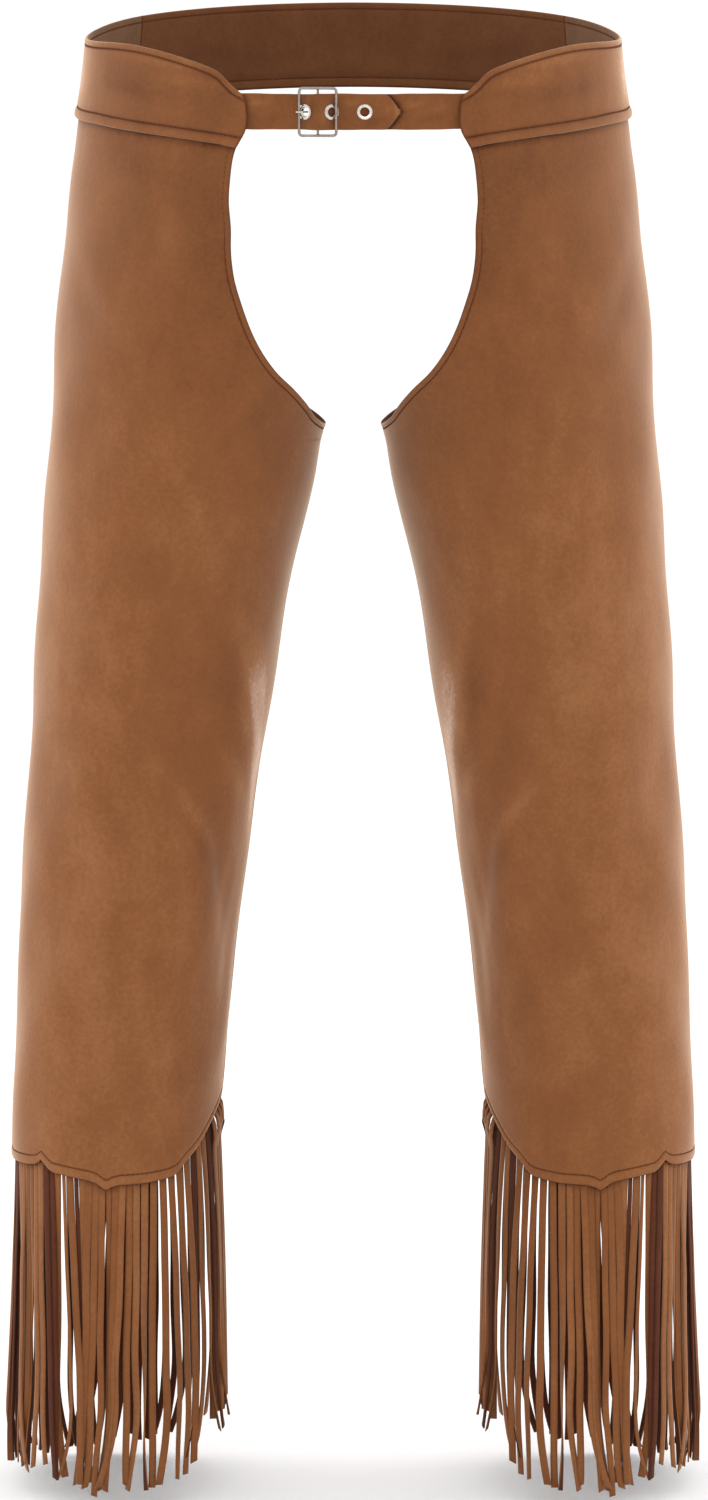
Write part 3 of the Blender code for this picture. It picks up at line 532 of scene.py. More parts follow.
def surface(angle, level, out=0.0, soft=True):
    """Points of the garment's outer surface on the wearer's left side, moved out by a distance."""
    angle, level, out = np.broadcast_arrays(*(np.asarray(v, float) for v in (angle, level, out)))
    turn = np.radians(angle)
    mid = at_level(level, "mid")
    half = at_level(level, "outer") - mid
    depth = np.where(angle < 0, at_level(level, "front"), at_level(level, "back"))
    across = np.cos(turn) / half
    ahead = np.sin(turn) / depth
    size = np.hypot(across, ahead)
    hem = np.interp((angle + CLOSED) % (2 * CLOSED) - CLOSED, HEM["angle"], HEM["height"])
    push = out + bumps(angle, level, MAIN_FOLDS, MM)
    if soft:
        push = push + bumps(angle, level, SOFT_FOLDS, MM) + waves(angle, level)
    x = mid + half * np.cos(turn) + across / size * push
    y = depth * np.sin(turn) + ahead / size * push
    z = level + at_level(level, "rise") * np.sin(turn) + at_level(level, "shape") * hem
    return np.stack([x, y, z], axis=-1)


def surface_axes(angle, level):
    """How a surface point moves per degree and per metre of level, and the outward direction."""
    here = surface(angle, level, soft=False)
    round_it = (surface(angle + TURN_STEP, level, soft=False) - here) / TURN_STEP
    up = (surface(angle, level + LEVEL_STEP, soft=False) - here) / LEVEL_STEP
    return round_it, up, unit(np.cross(round_it, up))


def add_object(name, data):
    """A new object in the scene."""
    obj = bpy.data.objects.new(name, data)
    bpy.context.scene.collection.objects.link(obj)
    return obj


def add_mesh(name, points, faces, side=1, materials=(), slots=None, nap=None):
    """An object from points and faces, with its faces' material slots and how the nap lies at each point,
    painted light and shade included; side -1 mirrors it to the wearer's right."""
    placed = np.array(points, float)
    placed[:, 0] *= side
    mesh = bpy.data.meshes.new(name)
    mesh.from_pydata(placed.tolist(), [], [face[::side] for face in faces])
    mesh.polygons.foreach_set("use_smooth", [True] * len(mesh.polygons))
    for material in materials:
        mesh.materials.append(material)
    mesh.update()
    if slots is not None:
        mesh.polygons.foreach_set("material_index", slots)
    if nap is not None:
        layer = mesh.attributes.new("nap", "FLOAT", "POINT")
        layer.data.foreach_set("value", np.asarray(nap, np.float32))
    return add_object(name, mesh)


def grid_faces(rows, columns, first=0, around=False):
    """Faces of a grid of points stored row by row; around joins the last column to the first."""
    faces = []
    for start in range(first, first + (rows - 1) * columns, columns):
        for c in range(columns if around else columns - 1):
            a, b = start + c, start + (c + 1) % columns
            faces.append((a, a + columns, b + columns, b))
    return faces


def tube_faces(rows, columns, first=0):
    """Faces of a tube of rings stored one after the other, closed at both ends."""
    last = first + (rows - 1) * columns
    ends = [tuple(range(first, first + columns)), tuple(range(last, last + columns))[::-1]]
    return grid_faces(rows, columns, first, around=True) + ends


def edit_mesh(mesh, edit):
    """Change a mesh by a function of its editable form."""
    shape = bmesh.new()
    shape.from_mesh(mesh)
    edit(shape)
    shape.to_mesh(mesh)
    shape.free()
    return mesh


def bake_modifiers(obj):
    """Replace a mesh by what its modifiers make of it."""
    evaluated = obj.evaluated_get(bpy.context.evaluated_depsgraph_get())
    mesh = bpy.data.meshes.new_from_object(evaluated)
    obj.modifiers.clear()
    obj.data = mesh


def thicken(obj, wall):
    """Give a sheet its wall, inwards, with the wrong side's material inside."""
    solid = obj.modifiers.new("Wall", "SOLIDIFY")
    solid.thickness = wall
    solid.offset = -1.0
    solid.use_even_offset = True
    solid.material_offset = 1
    bake_modifiers(obj)
    return obj


def relief(inside, rows):
    """Height beside a stitched edge."""
    return np.interp(inside, rows["inside"], rows["height"])


def step_in(angles, levels, towards, distances):
    """Angles and levels at distances from an edge, square to it along the surface."""
    round_it, up, normal = surface_axes(angles, levels)
    run = unit(np.gradient(surface(angles, levels, soft=False), axis=0))
    inward = unit(np.cross(normal, run)) * towards
    a, b, c = (np.sum(u * v, axis=1) for u, v in ((round_it, round_it), (round_it, up), (up, up)))
    det = a * c - b * b
    moved = []
    for distance in distances:
        p, q = (np.sum(way * (inward * distance), axis=1) for way in (round_it, up))
        moved.append((angles + (c * p - b * q) / det, levels + (a * q - b * p) / det))
    return np.array(moved).transpose(1, 2, 0)


def leg_bands():
    """The two edge bands of a leg: (angles, levels) arrays with a row for each step down the edge."""
    lengths = lengths_along(surface(-EDGES["front"], EDGES["level"], soft=False))
    steps = np.linspace(0.0, lengths[-1], int(lengths[-1] / EDGE_STEP))
    levels, front, back = (smooth(steps, lengths, EDGES[name]) for name in ("level", "front", "back"))
    inside = EDGE_RELIEF["inside"]
    bands = step_in(-front, levels, 1.0, inside), step_in(back, levels, -1.0, inside)
    for (angles, heights), end in zip(bands, (-CLOSED, CLOSED)):
        angles[-1] = end
        heights[-1] = levels[-1] - inside
    return bands


def seam_distance(angle, level):
    """Distance round the leg behind its inner line, negative in front of it."""
    half = at_level(level, "outer") - at_level(level, "mid")
    depth = (at_level(level, "front") + at_level(level, "back")) / 2
    turned = np.where(angle > 0, CLOSED - angle, -CLOSED - angle)
    return np.radians(turned) * (half + depth) / 2


def leg_shares():
    """Columns of a leg between its edge bands, closer together along the inner seam."""
    near = np.array(SEAM_COLUMNS) / (2 * CLOSED)
    even = np.linspace(near[-1], 1.0 - near[-1], LEG_COLUMNS)
    return np.concatenate(([0.0], near[:-1], even, 1.0 - near[-2::-1], [1.0]))


def band_height(levels):
    """Relief of an edge band, faint at the waist; its outermost column keeps its full turn."""
    full = FAINT + (1.0 - FAINT) * ramp(-levels, -FAINT_ABOVE, -PLAIN_BELOW)
    full[:, 0] = 1.0
    return EDGE_RELIEF["height"] * full


def leg_grids():
    """Angles, levels and relief of a leg's grids: front band, back band, middle and closed tube."""
    front, back = leg_bands()
    share = leg_shares()
    low = front[1][-1, -1]
    middle = [edge[:, -1:] * (1 - share) + other[:, -1:] * share for edge, other in zip(front, back)]
    inside = HEM_RELIEF["inside"]
    rows = int((low - HEM_LEVEL - inside[-1]) / LEG_STEP)
    tube = np.linspace(low, HEM_LEVEL + inside[-1], rows)
    tube = np.concatenate((tube[:-1], HEM_LEVEL + inside[::-1]))
    angles, levels = np.meshgrid(2 * CLOSED * share - CLOSED, tube)
    seam = relief(seam_distance(angles, levels), SEAM_RELIEF)
    fade = ramp(low - levels, 0.0, SEAM_FADE) * ramp(levels - HEM_LEVEL, 0.0, SEAM_FADE)
    return (
        (front[0], front[1], band_height(front[1])),
        (back[0][:, ::-1], back[1][:, ::-1], band_height(back[1])[:, ::-1]),
        (middle[0], middle[1], np.zeros(middle[0].shape)),
        (angles, levels, relief(levels - HEM_LEVEL, HEM_RELIEF) + seam * fade),
    )


def leg_nap_and_painted_light(angles, levels, height):
    """How the nap of a leg lies, with painted light and shade: the patches, painted highlight on fold
    ridges and on the raised cloth beside stitched edges, painted shade in fold troughs, in stitched
    grooves, at the very edge and just under the yoke's lower edge.
    """
    # Painted light on fold ridges and painted shade in fold troughs
    folds = bumps(angles, levels, MAIN_FOLDS, MM) + SOFT_FOLD_SHADE_SHARE * bumps(angles, levels, SOFT_FOLDS, MM)
    # Painted shade in stitched grooves and at the turned edge, painted highlight on the raised cloth beside
    # them
    sewn = np.where(height < 0, GROOVE_SHADE, RIDGE_HIGHLIGHT) * height / MM
    # Painted shade on the leg just under the yoke's lower edge
    under = UNDER_YOKE_SHADE * np.exp(-(((levels - low_level(angles)) / UNDER_YOKE_SHADE_REACH) ** 2))
    return bumps(angles, levels, NAP_AND_PAINTED_LIGHT_PATCHES) + folds / FOLD_SHADE_DEPTH + sewn + under


def leg_cloth(side, word, materials):
    """The cloth of one leg."""
    points, faces, nap, slots = [], [], [], []
    first = 0
    for angles, levels, height in leg_grids():
        points.append(surface(angles, levels, height).reshape(-1, 3))
        nap.append(leg_nap_and_painted_light(angles, levels, height).ravel())
        faces.extend(grid_faces(*angles.shape, first))
        middle = (height[:-1, :-1] + height[1:, :-1] + height[:-1, 1:] + height[1:, 1:]) / 4
        # Faces sunk below the cloth, in grooves and at the turned edges, get the darker painted-shade
        # material
        slots.append(np.where(middle < SEAM_SHADE_HEIGHT, SEAM_SHADE_SLOT, 0).ravel())
        first += angles.size
    points, slots, nap = (np.concatenate(parts) for parts in (points, slots, nap))
    obj = add_mesh("leg_" + word + "_cloth", points, faces, side, materials, slots, nap)
    edit_mesh(obj.data, lambda shape: bmesh.ops.remove_doubles(shape, verts=shape.verts, dist=WELD))
    return thicken(obj, LEG_WALL)


def top_level(angle):
    """Level of the yoke's and waistband's top edge."""
    return smooth(angle, TOP_EDGE["angle"], TOP_EDGE["level"])


def low_level(angle):
    """Level of the yoke's and waistband's lower edge."""
    return YOKE_LOWER + smooth(angle, LOWER_RISE["angle"], LOWER_RISE["rise"] * MM)


def band_section():
    """A band's section once round: edge it is measured from, distance, height in mm, and the painted light
    or shade on its nap.
    """
    outer, inner = (
        tuple(("share", share, face, 0.0) for share in shares)
        for face, shares in ((OUTER_FACE, MIDDLE_ROWS), (INNER_FACE, [1 - share for share in MIDDLE_ROWS]))
    )
    return LOWER_TURN + outer + UPPER_TURN + INNER_UPPER + inner + INNER_LOWER


def band_line(angles, edge, inside, nose):
    """Angles and levels of one line along a band, at a distance in mm from an edge."""
    top = top_level(angles)
    run = np.linalg.norm(np.gradient(surface(angles, top, soft=False)[:, :2], axis=0), axis=1)
    slant = np.sqrt(1.0 + (np.gradient(top) / run) ** 2)
    lower = low_level(angles)
    if edge == "lower":
        levels = lower + inside * MM
    elif edge == "upper":
        levels = top - inside * MM * slant
    else:
        low = lower + LOWER_TURN[-1][1] * MM
        levels = low + (top - UPPER_TURN[0][1] * MM * slant - low) * inside
    if nose:
        ends = smooth(levels, NOSE["level"], NOSE["angle"])
        follow = 1.0 - ramp(angles, YOKE_FRONT_END, YOKE_FRONT_END + NOSE_REACH)
        angles = angles + (ends - YOKE_FRONT_END) * follow
    return angles, levels


def band_grid(start, end, ends, nose):
    """Points of a band, a row for each point of its section, and how the nap lies at each, with its painted
    light and shade.
    """
    even = np.linspace(start + END_SPAN, end - END_SPAN, int((end - start) / BAND_COLUMN_STEP))
    near = np.array(END_COLUMNS)
    angles = np.concatenate((start + near, even, end - near[::-1]))
    lengths = lengths_along(surface(angles, np.full(len(angles), YOKE_LOWER), soft=False))
    from_start = lengths if ends[0] else END_ROUND
    from_end = lengths[-1] - lengths if ends[1] else END_ROUND
    t = np.clip(np.minimum(from_start, from_end) / END_ROUND, 0.0, 1.0)
    swell = np.maximum(np.sqrt(1 - (1 - t) ** 2), END_LEAST)
    rows = []
    for edge, inside, out, _ in band_section():
        line, levels = band_line(angles, edge, inside, nose)
        height = (SECTION_MIDDLE + (out - SECTION_MIDDLE) * swell) * MM
        rows.append(surface(line, levels, height, soft=False))
    points = np.array(rows)
    tones = np.array([tone for *_, tone in band_section()])
    return points, BAND_SHADE + tones[:, None] + bumps(angles, points[..., 2], YOKE_PATCHES)


def band_cloth(name, points, nap, side, materials):
    """A band from its sections, with the wrong side's material inside."""
    section = band_section()
    rows, columns = points.shape[:2]
    tones = np.array([tone for *_, tone in section])
    inner = np.array([out <= SECTION_INSIDE for *_, out, _ in section], int)
    # Faces in the darkest painted grooves and under the lower edge, and the end columns, get the darker
    # painted-shade material
    ring = np.where((tones + np.roll(tones, -1)) / 2 < SEAM_SHADE_TONE, SEAM_SHADE_SLOT, inner)
    slots = np.tile(ring, (columns - 1, 1))
    slots[:SHADED_END_COLUMNS] = SEAM_SHADE_SLOT
    slots[-SHADED_END_COLUMNS:] = SEAM_SHADE_SLOT
    slots = np.append(slots.ravel(), (SEAM_SHADE_SLOT, SEAM_SHADE_SLOT))
    points = points.transpose(1, 0, 2).reshape(-1, 3)
    return add_mesh(name, points, tube_faces(columns, rows), side, materials, slots, nap.T.ravel())


def seam_start():
    """Angle at which the back waistband starts, one seam gap behind the yoke."""
    radius = float(np.linalg.norm(surface(SEAM_ANGLE, YOKE_LOWER, soft=False)[:2]))
    return SEAM_ANGLE + math.degrees(SEAM_GAP / radius)


def waistband_cloth(materials):
    """The back waistband, from one side-back seam round the back to the other."""
    half, half_nap = band_grid(seam_start(), BACK_MIDDLE, (True, False), False)
    points = np.concatenate((half, half[:, -2::-1] * MIRROR), axis=1)
    nap = np.concatenate((half_nap, half_nap[:, -2::-1]), axis=1)
    return band_cloth("waistband_back_cloth", points, nap, 1, materials)


def belt_place(along, out):
    """Point in plan on the belt's line, in metres; along and out in mm."""
    x = BAR_X + along * MM
    half = float(at_level(0.0, "outer"))
    depth = float(at_level(0.0, "front"))
    y = -depth * math.sqrt(1.0 - (x / half) ** 2)
    normal = Vector((x / half**2, y / depth**2, 0.0)).normalized()
    return Vector((x, y, BELT_Z)) + normal * out * MM, normal


def smooth_path(path, step):
    """A path at even steps."""
    places = np.array(path)
    lengths = lengths_along(places)
    steps = np.linspace(0.0, lengths[-1], int(lengths[-1] / step) + 1)
    return np.stack([smooth(steps, lengths, places[:, k]) for k in range(2)], axis=1)


def holder_nap_and_painted_light(along, height):
    """How the nap lies on the buckle strap, with painted light and shade: the belt's painted shade, its
    patches, and a painted shadow where the tongue's point lies over it.
    """
    share = np.clip(np.abs(height) / BELT_HALF, 0.0, 1.0)
    point = TIP_START + TIP_LENGTH * (1.0 - share) ** (1.0 / TIP_POWER)
    beyond = (along - point) / TIP_SHADE_REACH
    return BELT_SHADE + bumps(along, height, HOLDER_PATCHES) + TIP_SHADE * np.exp(-beyond * beyond)


def tongue_nap_and_painted_light(along, height):
    """How the nap lies on the tongue strap, with the belt's painted shade and its patches' painted light
    and shade.
    """
    return BELT_SHADE + bumps(along, height, TONGUE_PATCHES)


def tongue_half(along):
    """Half width of the tongue strap, drawn in to a rounded point."""
    share = min(max((along - TIP_START) / TIP_LENGTH, 0.0), 1.0)
    return max(BELT_HALF * (1 - share**TIP_POWER), TIP_HALF)


def strap_cloth(name, path, half_width, nap, materials):
    """A strap along a path, with rounded edges; half width and nap, with its painted light and shade, are
    given by place.
    """
    centres = np.array([belt_place(along, out)[0] for along, out in path])
    run = unit(np.gradient(centres, axis=0))
    face = np.stack([run[:, 1], -run[:, 0], np.zeros(len(run))], axis=1)
    upper = list(STRAP_SECTION)
    ring = upper + [(share, -wall) for share, wall in reversed(upper)]
    ring += [(-share, -wall) for share, wall in upper[1:]]
    ring += [(-share, wall) for share, wall in reversed(upper[1:])]
    points, tones = [], []
    for centre, normal, (along, _) in zip(centres, face, path):
        wander = 1.0 + sum(size * math.sin(turns * along + start) for size, turns, start in STRAP_WAVES)
        half = half_width(along) * wander
        for share, wall in ring:
            points.append(centre + normal * wall * STRAP_WALL / 2 + np.array((0.0, 0.0, share * half)))
            tones.append(nap(along, share * half))
    obj = add_mesh(name, points, tube_faces(len(path), len(ring)), materials=materials, nap=tones)
    edit_mesh(obj.data, lambda shape: bmesh.ops.recalc_face_normals(shape, faces=shape.faces))
    return obj


def cut_out(obj, make, place):
    """Take a shape out of an object; make builds the shape, place is its matrix."""
    cutter = add_object("cutter", edit_mesh(bpy.data.meshes.new("cutter"), make))
    cutter.matrix_world = place
    boolean = obj.modifiers.new("Cut", "BOOLEAN")
    boolean.operation = "DIFFERENCE"
    boolean.solver = "EXACT"
    boolean.object = cutter
    bake_modifiers(obj)
    bpy.data.objects.remove(cutter, do_unlink=True)


def eyelet_axes(along):
    """Matrix of an eyelet's place and outward direction on the tongue strap."""
    ends = along - SLOPE_STEP, along + SLOPE_STEP
    before, after = (belt_place(end, float(np.interp(end, *np.array(TONGUE_PATH).T)))[0] for end in ends)
    run = (after - before).normalized()
    turn = Vector((run.y, -run.x, 0.0)).to_track_quat("Z", "Y").to_matrix().to_4x4()
    return Matrix.Translation((before + after) / 2) @ turn


def tongue_strap(materials):
    """The strap with the point and its three holes."""
    path = smooth_path(TONGUE_PATH, STRAP_STEP)
    obj = strap_cloth("belt_tongue_cloth", path, tongue_half, tongue_nap_and_painted_light, materials)
    size = {"segments": HOLE_SIDES, "radius1": EYELET_HOLE, "radius2": EYELET_HOLE, "depth": HOLE_DEPTH}
    hole = lambda shape: bmesh.ops.create_cone(shape, cap_ends=True, **size)
    for along in EYELET_PLACES:
        cut_out(obj, hole, eyelet_axes(along))
    return obj


def holder_strap(materials):
    """The strap folded round the bar, with a slot for the prong."""
    turns = np.radians(LOOP_ANGLES)
    loop = [(LOOP_RADIUS * math.cos(t), BAR_OUT + LOOP_RADIUS * math.sin(t)) for t in turns]
    path = smooth_path(list(HOLDER_PATH) + loop + list(RETURN_PATH), STRAP_STEP / 2)
    obj = strap_cloth("belt_buckle_strap_cloth", path, lambda along: BELT_HALF, holder_nap_and_painted_light, materials)
    origin, normal = belt_place(0.0, 0.0)
    along = Vector((-normal.y, normal.x, 0.0))
    axes = Matrix((along, normal, Vector((0.0, 0.0, 1.0)))).transposed().to_4x4()
    axes.translation = origin
    place = axes @ Matrix.Translation((SLOT_ALONG * MM, BAR_OUT * MM, 0.0))
    place = place @ Matrix.Diagonal((SLOT_REACH * MM, SLOT_REACH * MM, SLOT_HALF * MM, 1.0))
    cut_out(obj, lambda shape: bmesh.ops.create_cube(shape, size=2.0), place)
    return obj


def strand_angles():
    """Angles of the strands' roots round the hem."""
    fine = np.linspace(-CLOSED, CLOSED, ROUND_STEPS)
    places = surface(fine, np.full(len(fine), HEM_LEVEL), soft=False)
    steps = np.linalg.norm(np.diff(places[:, :2], axis=0), axis=1)
    steps = steps / np.interp(np.abs(fine[1:]), SPACING["angle"], SPACING["share"])
    lengths = np.concatenate(([0.0], np.cumsum(steps)))
    count = int(lengths[-1] / STRAND_PITCH)
    return np.interp((np.arange(count) + 0.5) * lengths[-1] / count, lengths, fine)


def strand_groups(rng, count):
    """Layer, swing, bend and turn that neighbouring strands share."""
    groups = []
    layer = LAYER
    while len(groups) < count:
        layer = -layer
        swing = rng.uniform(-1.0, 1.0) * GROUP_SWING
        bend = rng.normal(0.0, GROUP_BEND) * END_BEND
        turn = rng.normal(0.0, 1.0) * GROUP_TURN
        groups.extend([(layer, swing, bend, turn)] * int(rng.integers(1, GROUP_MOST + 1)))
    return groups


def parting(share, back):
    """How far a strand is pushed towards the outer side by the partings near it."""
    total = 0.0
    for centre, half, far, both in PARTS:
        d = (share - centre) / half
        total += far * MM * d * math.exp(-d * d) * (both if back else 1.0)
    return total


def part_way(s, start):
    """0 up to a place down a strand, then evenly to 1 at its end."""
    return np.clip((s - start) / (1 - start), 0.0, 1.0)


def strand_rows(angle, rng, sway, group):
    """Centre, across and outward direction down one strand."""
    layer, group_swing, group_bend, group_turn = group
    s = np.linspace(0.0, 1.0, STRAND_ROWS)
    root = surface(angle, HEM_LEVEL, -(LEG_WALL + GAP) - FRINGE_WALL / 2)
    round_it, _, _ = surface_axes(np.array([angle]), np.array([HEM_LEVEL]))
    along = unit(round_it * np.array((1.0, 1.0, 0.0)))[0]
    outward = np.array((along[1], -along[0], 0.0))
    ease = s * s
    spread = ease if outward[0] > 0 else 1.0 - (1.0 - s) ** CURL
    sizes = rng.uniform(*WOBBLE_SIZES, 3) * MM
    phases = rng.uniform(0.0, math.tau, 3)
    wobble = sum(a * np.sin(n * math.pi * s + p) for n, a, p in zip(WOBBLE_TURNS, sizes, phases))
    bend = (group_bend + rng.normal(0.0, OWN_BEND) * END_BEND) * part_way(s, END_START) ** 2
    swing = (group_swing + rng.uniform(-OWN_SWING, OWN_SWING) * MM) * np.sin(0.5 * math.pi * s)
    swayed = sway * np.minimum(1.0, SWAY_RAMP * s) * (SWAY_TOP + SWAY_LOW * ease)
    side_shift = swayed + swing + wobble * s + bend
    apart = layer + rng.uniform(-OWN_LAYER, OWN_LAYER) * MM
    out_shift = FLARE * s + SIDE_FLARE * abs(outward[0]) * spread + apart * np.minimum(1.0, LAYER_RAMP * s)
    tuck = SIDE_TUCK * max(0.0, outward[0]) ** TUCK_POWER * (0.6 + 0.4 * math.sin(phases[0]))
    out_shift = out_shift - tuck * part_way(s, TUCK_START) ** 1.5
    if abs(angle) > CORNER_FROM:
        swell = np.exp(-(((s - CORNER_AT) / CORNER_HALF) ** 2)) * np.minimum(1.0, CORNER_RAMP * s)
        out_shift = out_shift + CORNER_BULGE * rng.uniform(*CORNER_SHARES) * swell
    length = STRAND_LENGTH + rng.uniform(*LENGTH_SPREAD) * MM
    drop = np.outer(-length * s, np.array((0.0, 0.0, 1.0)))
    centre = root + np.outer(side_shift, along) + np.outer(out_shift, outward) + drop
    turned = rng.choice((-1.0, 1.0)) * TURNED if rng.random() < TURNED_SHARE else group_turn
    turn = np.radians((turned + rng.normal(0.0, 1.0) * TWIST) * s**1.5)
    across = np.outer(np.cos(turn), along) + np.outer(np.sin(turn), outward)
    return centre, across, np.outer(np.cos(turn), outward) - np.outer(np.sin(turn), along)


def beside(share, places, reach):
    """Whether a share lies within reach of any of the places."""
    return min(abs(share - place) for place in places) < reach


def fringe_cloth(side, word, materials):
    """One leg's fringe: a strip inside the hem, cut into strands below it. A slit shows at the same
    place in the fringe's back as the camera sees it through the front."""
    rng = np.random.default_rng(FRINGE_SEED)
    angles = strand_angles()
    phases = rng.uniform(0.0, math.tau, len(SWAY_TURNS))
    sizes = rng.uniform(*SWAY_SIZES, len(SWAY_TURNS))
    nearest = 2 * at_level(HEM_LEVEL, "mid") - at_level(HEM_LEVEL, "outer")
    points, faces, slots, nap = [], [], [], []
    for angle, group in zip(angles, strand_groups(rng, len(angles))):
        back = angle > 0
        x = float(surface(angle, HEM_LEVEL)[0])
        share = (x - nearest) / (at_level(HEM_LEVEL, "outer") - nearest)
        swing = sum(a * math.sin(n * math.pi * share + p) for n, a, p in zip(SWAY_TURNS, sizes, phases))
        sway = -(SWAY * swing + parting(share, back)) * math.sin(math.radians(angle))
        centre, across, face = strand_rows(angle, rng, sway, group)
        width = STRAND_WIDTH * rng.uniform(*WIDTH_SPREAD)
        width *= 1.0 + INNER_WIDE * float(ramp(abs(angle), INNER_FROM, CORNER_FROM))
        cup = rng.uniform(*CUP_SPREAD) * MM
        lean = rng.choice((-1.0, 1.0))
        slant = rng.random() * CUT_SLANT
        tone = rng.uniform(*TONE_SPREAD)
        if beside(share, [place * BEHIND[0] + BEHIND[1] if back else place for place in SLITS], SLIT_REACH):
            if back:
                continue
            width *= SLIT_WIDTH
        first = len(points)
        for row in range(STRAND_ROWS):
            last = float(row == STRAND_ROWS - 1)
            for part in STRAND_SHARES:
                point = centre[row] + across[row] * part * width - face[row] * cup * (4 * part * part)
                point[2] += last * (0.5 + lean * part) * slant
                points.append(point)
                nap.append(tone)
        cells = grid_faces(STRAND_ROWS, len(STRAND_SHARES), first)
        faces.extend(cells)
        flipped = beside(share, BACK_FLIPPED if angle >= 0 else FLIPPED, FLIP_REACH)
        slots.extend([int(flipped)] * len(cells))
    strands = add_mesh("fringe_" + word + "_strands", points, faces, side, materials, slots, nap)
    return thicken(strands, FRINGE_WALL)


def stitch_rings(points, normals):
    """Short threads along a line: the rings of all of them."""
    lengths = lengths_along(points)
    t = np.linspace(0.0, 1.0, THREAD_RINGS)
    turn = np.linspace(0.0, math.tau, THREAD_SIDES, endpoint=False)
    lift = (np.sin(math.pi * t) * THREAD_LIFT - 0.5) * THREAD_RADIUS
    radius = THREAD_RADIUS * (THREAD_END + THREAD_SWELL * np.sin(math.pi * t))
    rings = []
    for start in np.arange(STITCH_PITCH / 2, lengths[-1] - STITCH_LENGTH, STITCH_PITCH):
        place = start + t * STITCH_LENGTH
        line, up = (
            np.stack([np.interp(place, lengths, values[:, k]) for k in range(3)], axis=1)
            for values in (points, normals)
        )
        up = unit(up)
        side_way = np.cross(unit(line[-1] - line[0]), up)
        for k in range(THREAD_RINGS):
            circle = np.outer(np.cos(turn), side_way[k]) + np.outer(np.sin(turn), up[k])
            rings.append(line[k] + up[k] * lift[k] + circle * radius[k])
    return rings


def stitch_mesh(name, lines, side, material):
    """One object from many stitched lines."""
    rings = [ring for points, normals in lines for ring in stitch_rings(points, normals)]
    faces = []
    for first in range(0, len(rings) * THREAD_SIDES, THREAD_RINGS * THREAD_SIDES):
        faces.extend(tube_faces(THREAD_RINGS, THREAD_SIDES, first))
    obj = add_mesh(name, np.concatenate(rings), faces, side, (material,))
    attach(obj, "root")
    return obj


def on_surface(angles, levels, out, soft=False):
    """A line of stitches on the surface: points and outward directions."""
    angles, levels = np.broadcast_arrays(np.asarray(angles, float), np.asarray(levels, float))
    return surface(angles, levels, out, soft), surface_axes(angles, levels)[2]


def leg_stitches(side, word, material):
    """Topstitching of a leg: both edges, the hem and the inner seam."""
    bands = leg_bands()
    edge = int(np.argmin(np.abs(EDGE_RELIEF["inside"] - EDGE_STITCHES)))
    hem = HEM_LEVEL + HEM_STITCHES
    levels = np.linspace(bands[0][1][-1, -1] - SEAM_FADE, hem + SEAM_FADE, SEAM_POINTS)
    per_degree = seam_distance(np.full(len(levels), CLOSED - 1.0), levels)
    lines = [(angles[4:, edge], heights[4:, edge]) for angles, heights in bands]
    lines.append((np.linspace(-CLOSED, CLOSED, HEM_POINTS), hem))
    lines.append((CLOSED - SEAM_STITCHES / per_degree, levels))
    sewn = [on_surface(angles, heights, STITCH_DEPTH, True) for angles, heights in lines]
    return stitch_mesh("leg_" + word + "_stitches", sewn, side, material)


def band_stitches(start, end, seam, nose):
    """Stitched lines of a yoke or of half the waistband: upper and lower, on both sides of the cloth,
    and one down the seam between yoke and waistband."""
    angles = np.linspace(start, end, BAND_POINTS)
    edges = ("upper", UPPER_STITCHES), ("lower", LOWER_STITCHES)
    ways = [band_line(angles, *edge, nose) for edge in edges]
    lines = [on_surface(*way, BAND_STITCH_OUT) for way in ways]
    for way in ways:
        points, normals = on_surface(*way, BAND_STITCH_IN)
        lines.append((points, -normals))
    levels = np.linspace(YOKE_LOWER + LOWER_STITCHES * MM, top_level(seam) - UPPER_STITCHES * MM, 40)
    return lines + [on_surface(np.full(len(levels), seam), levels, SEAM_STITCH_OUT)]


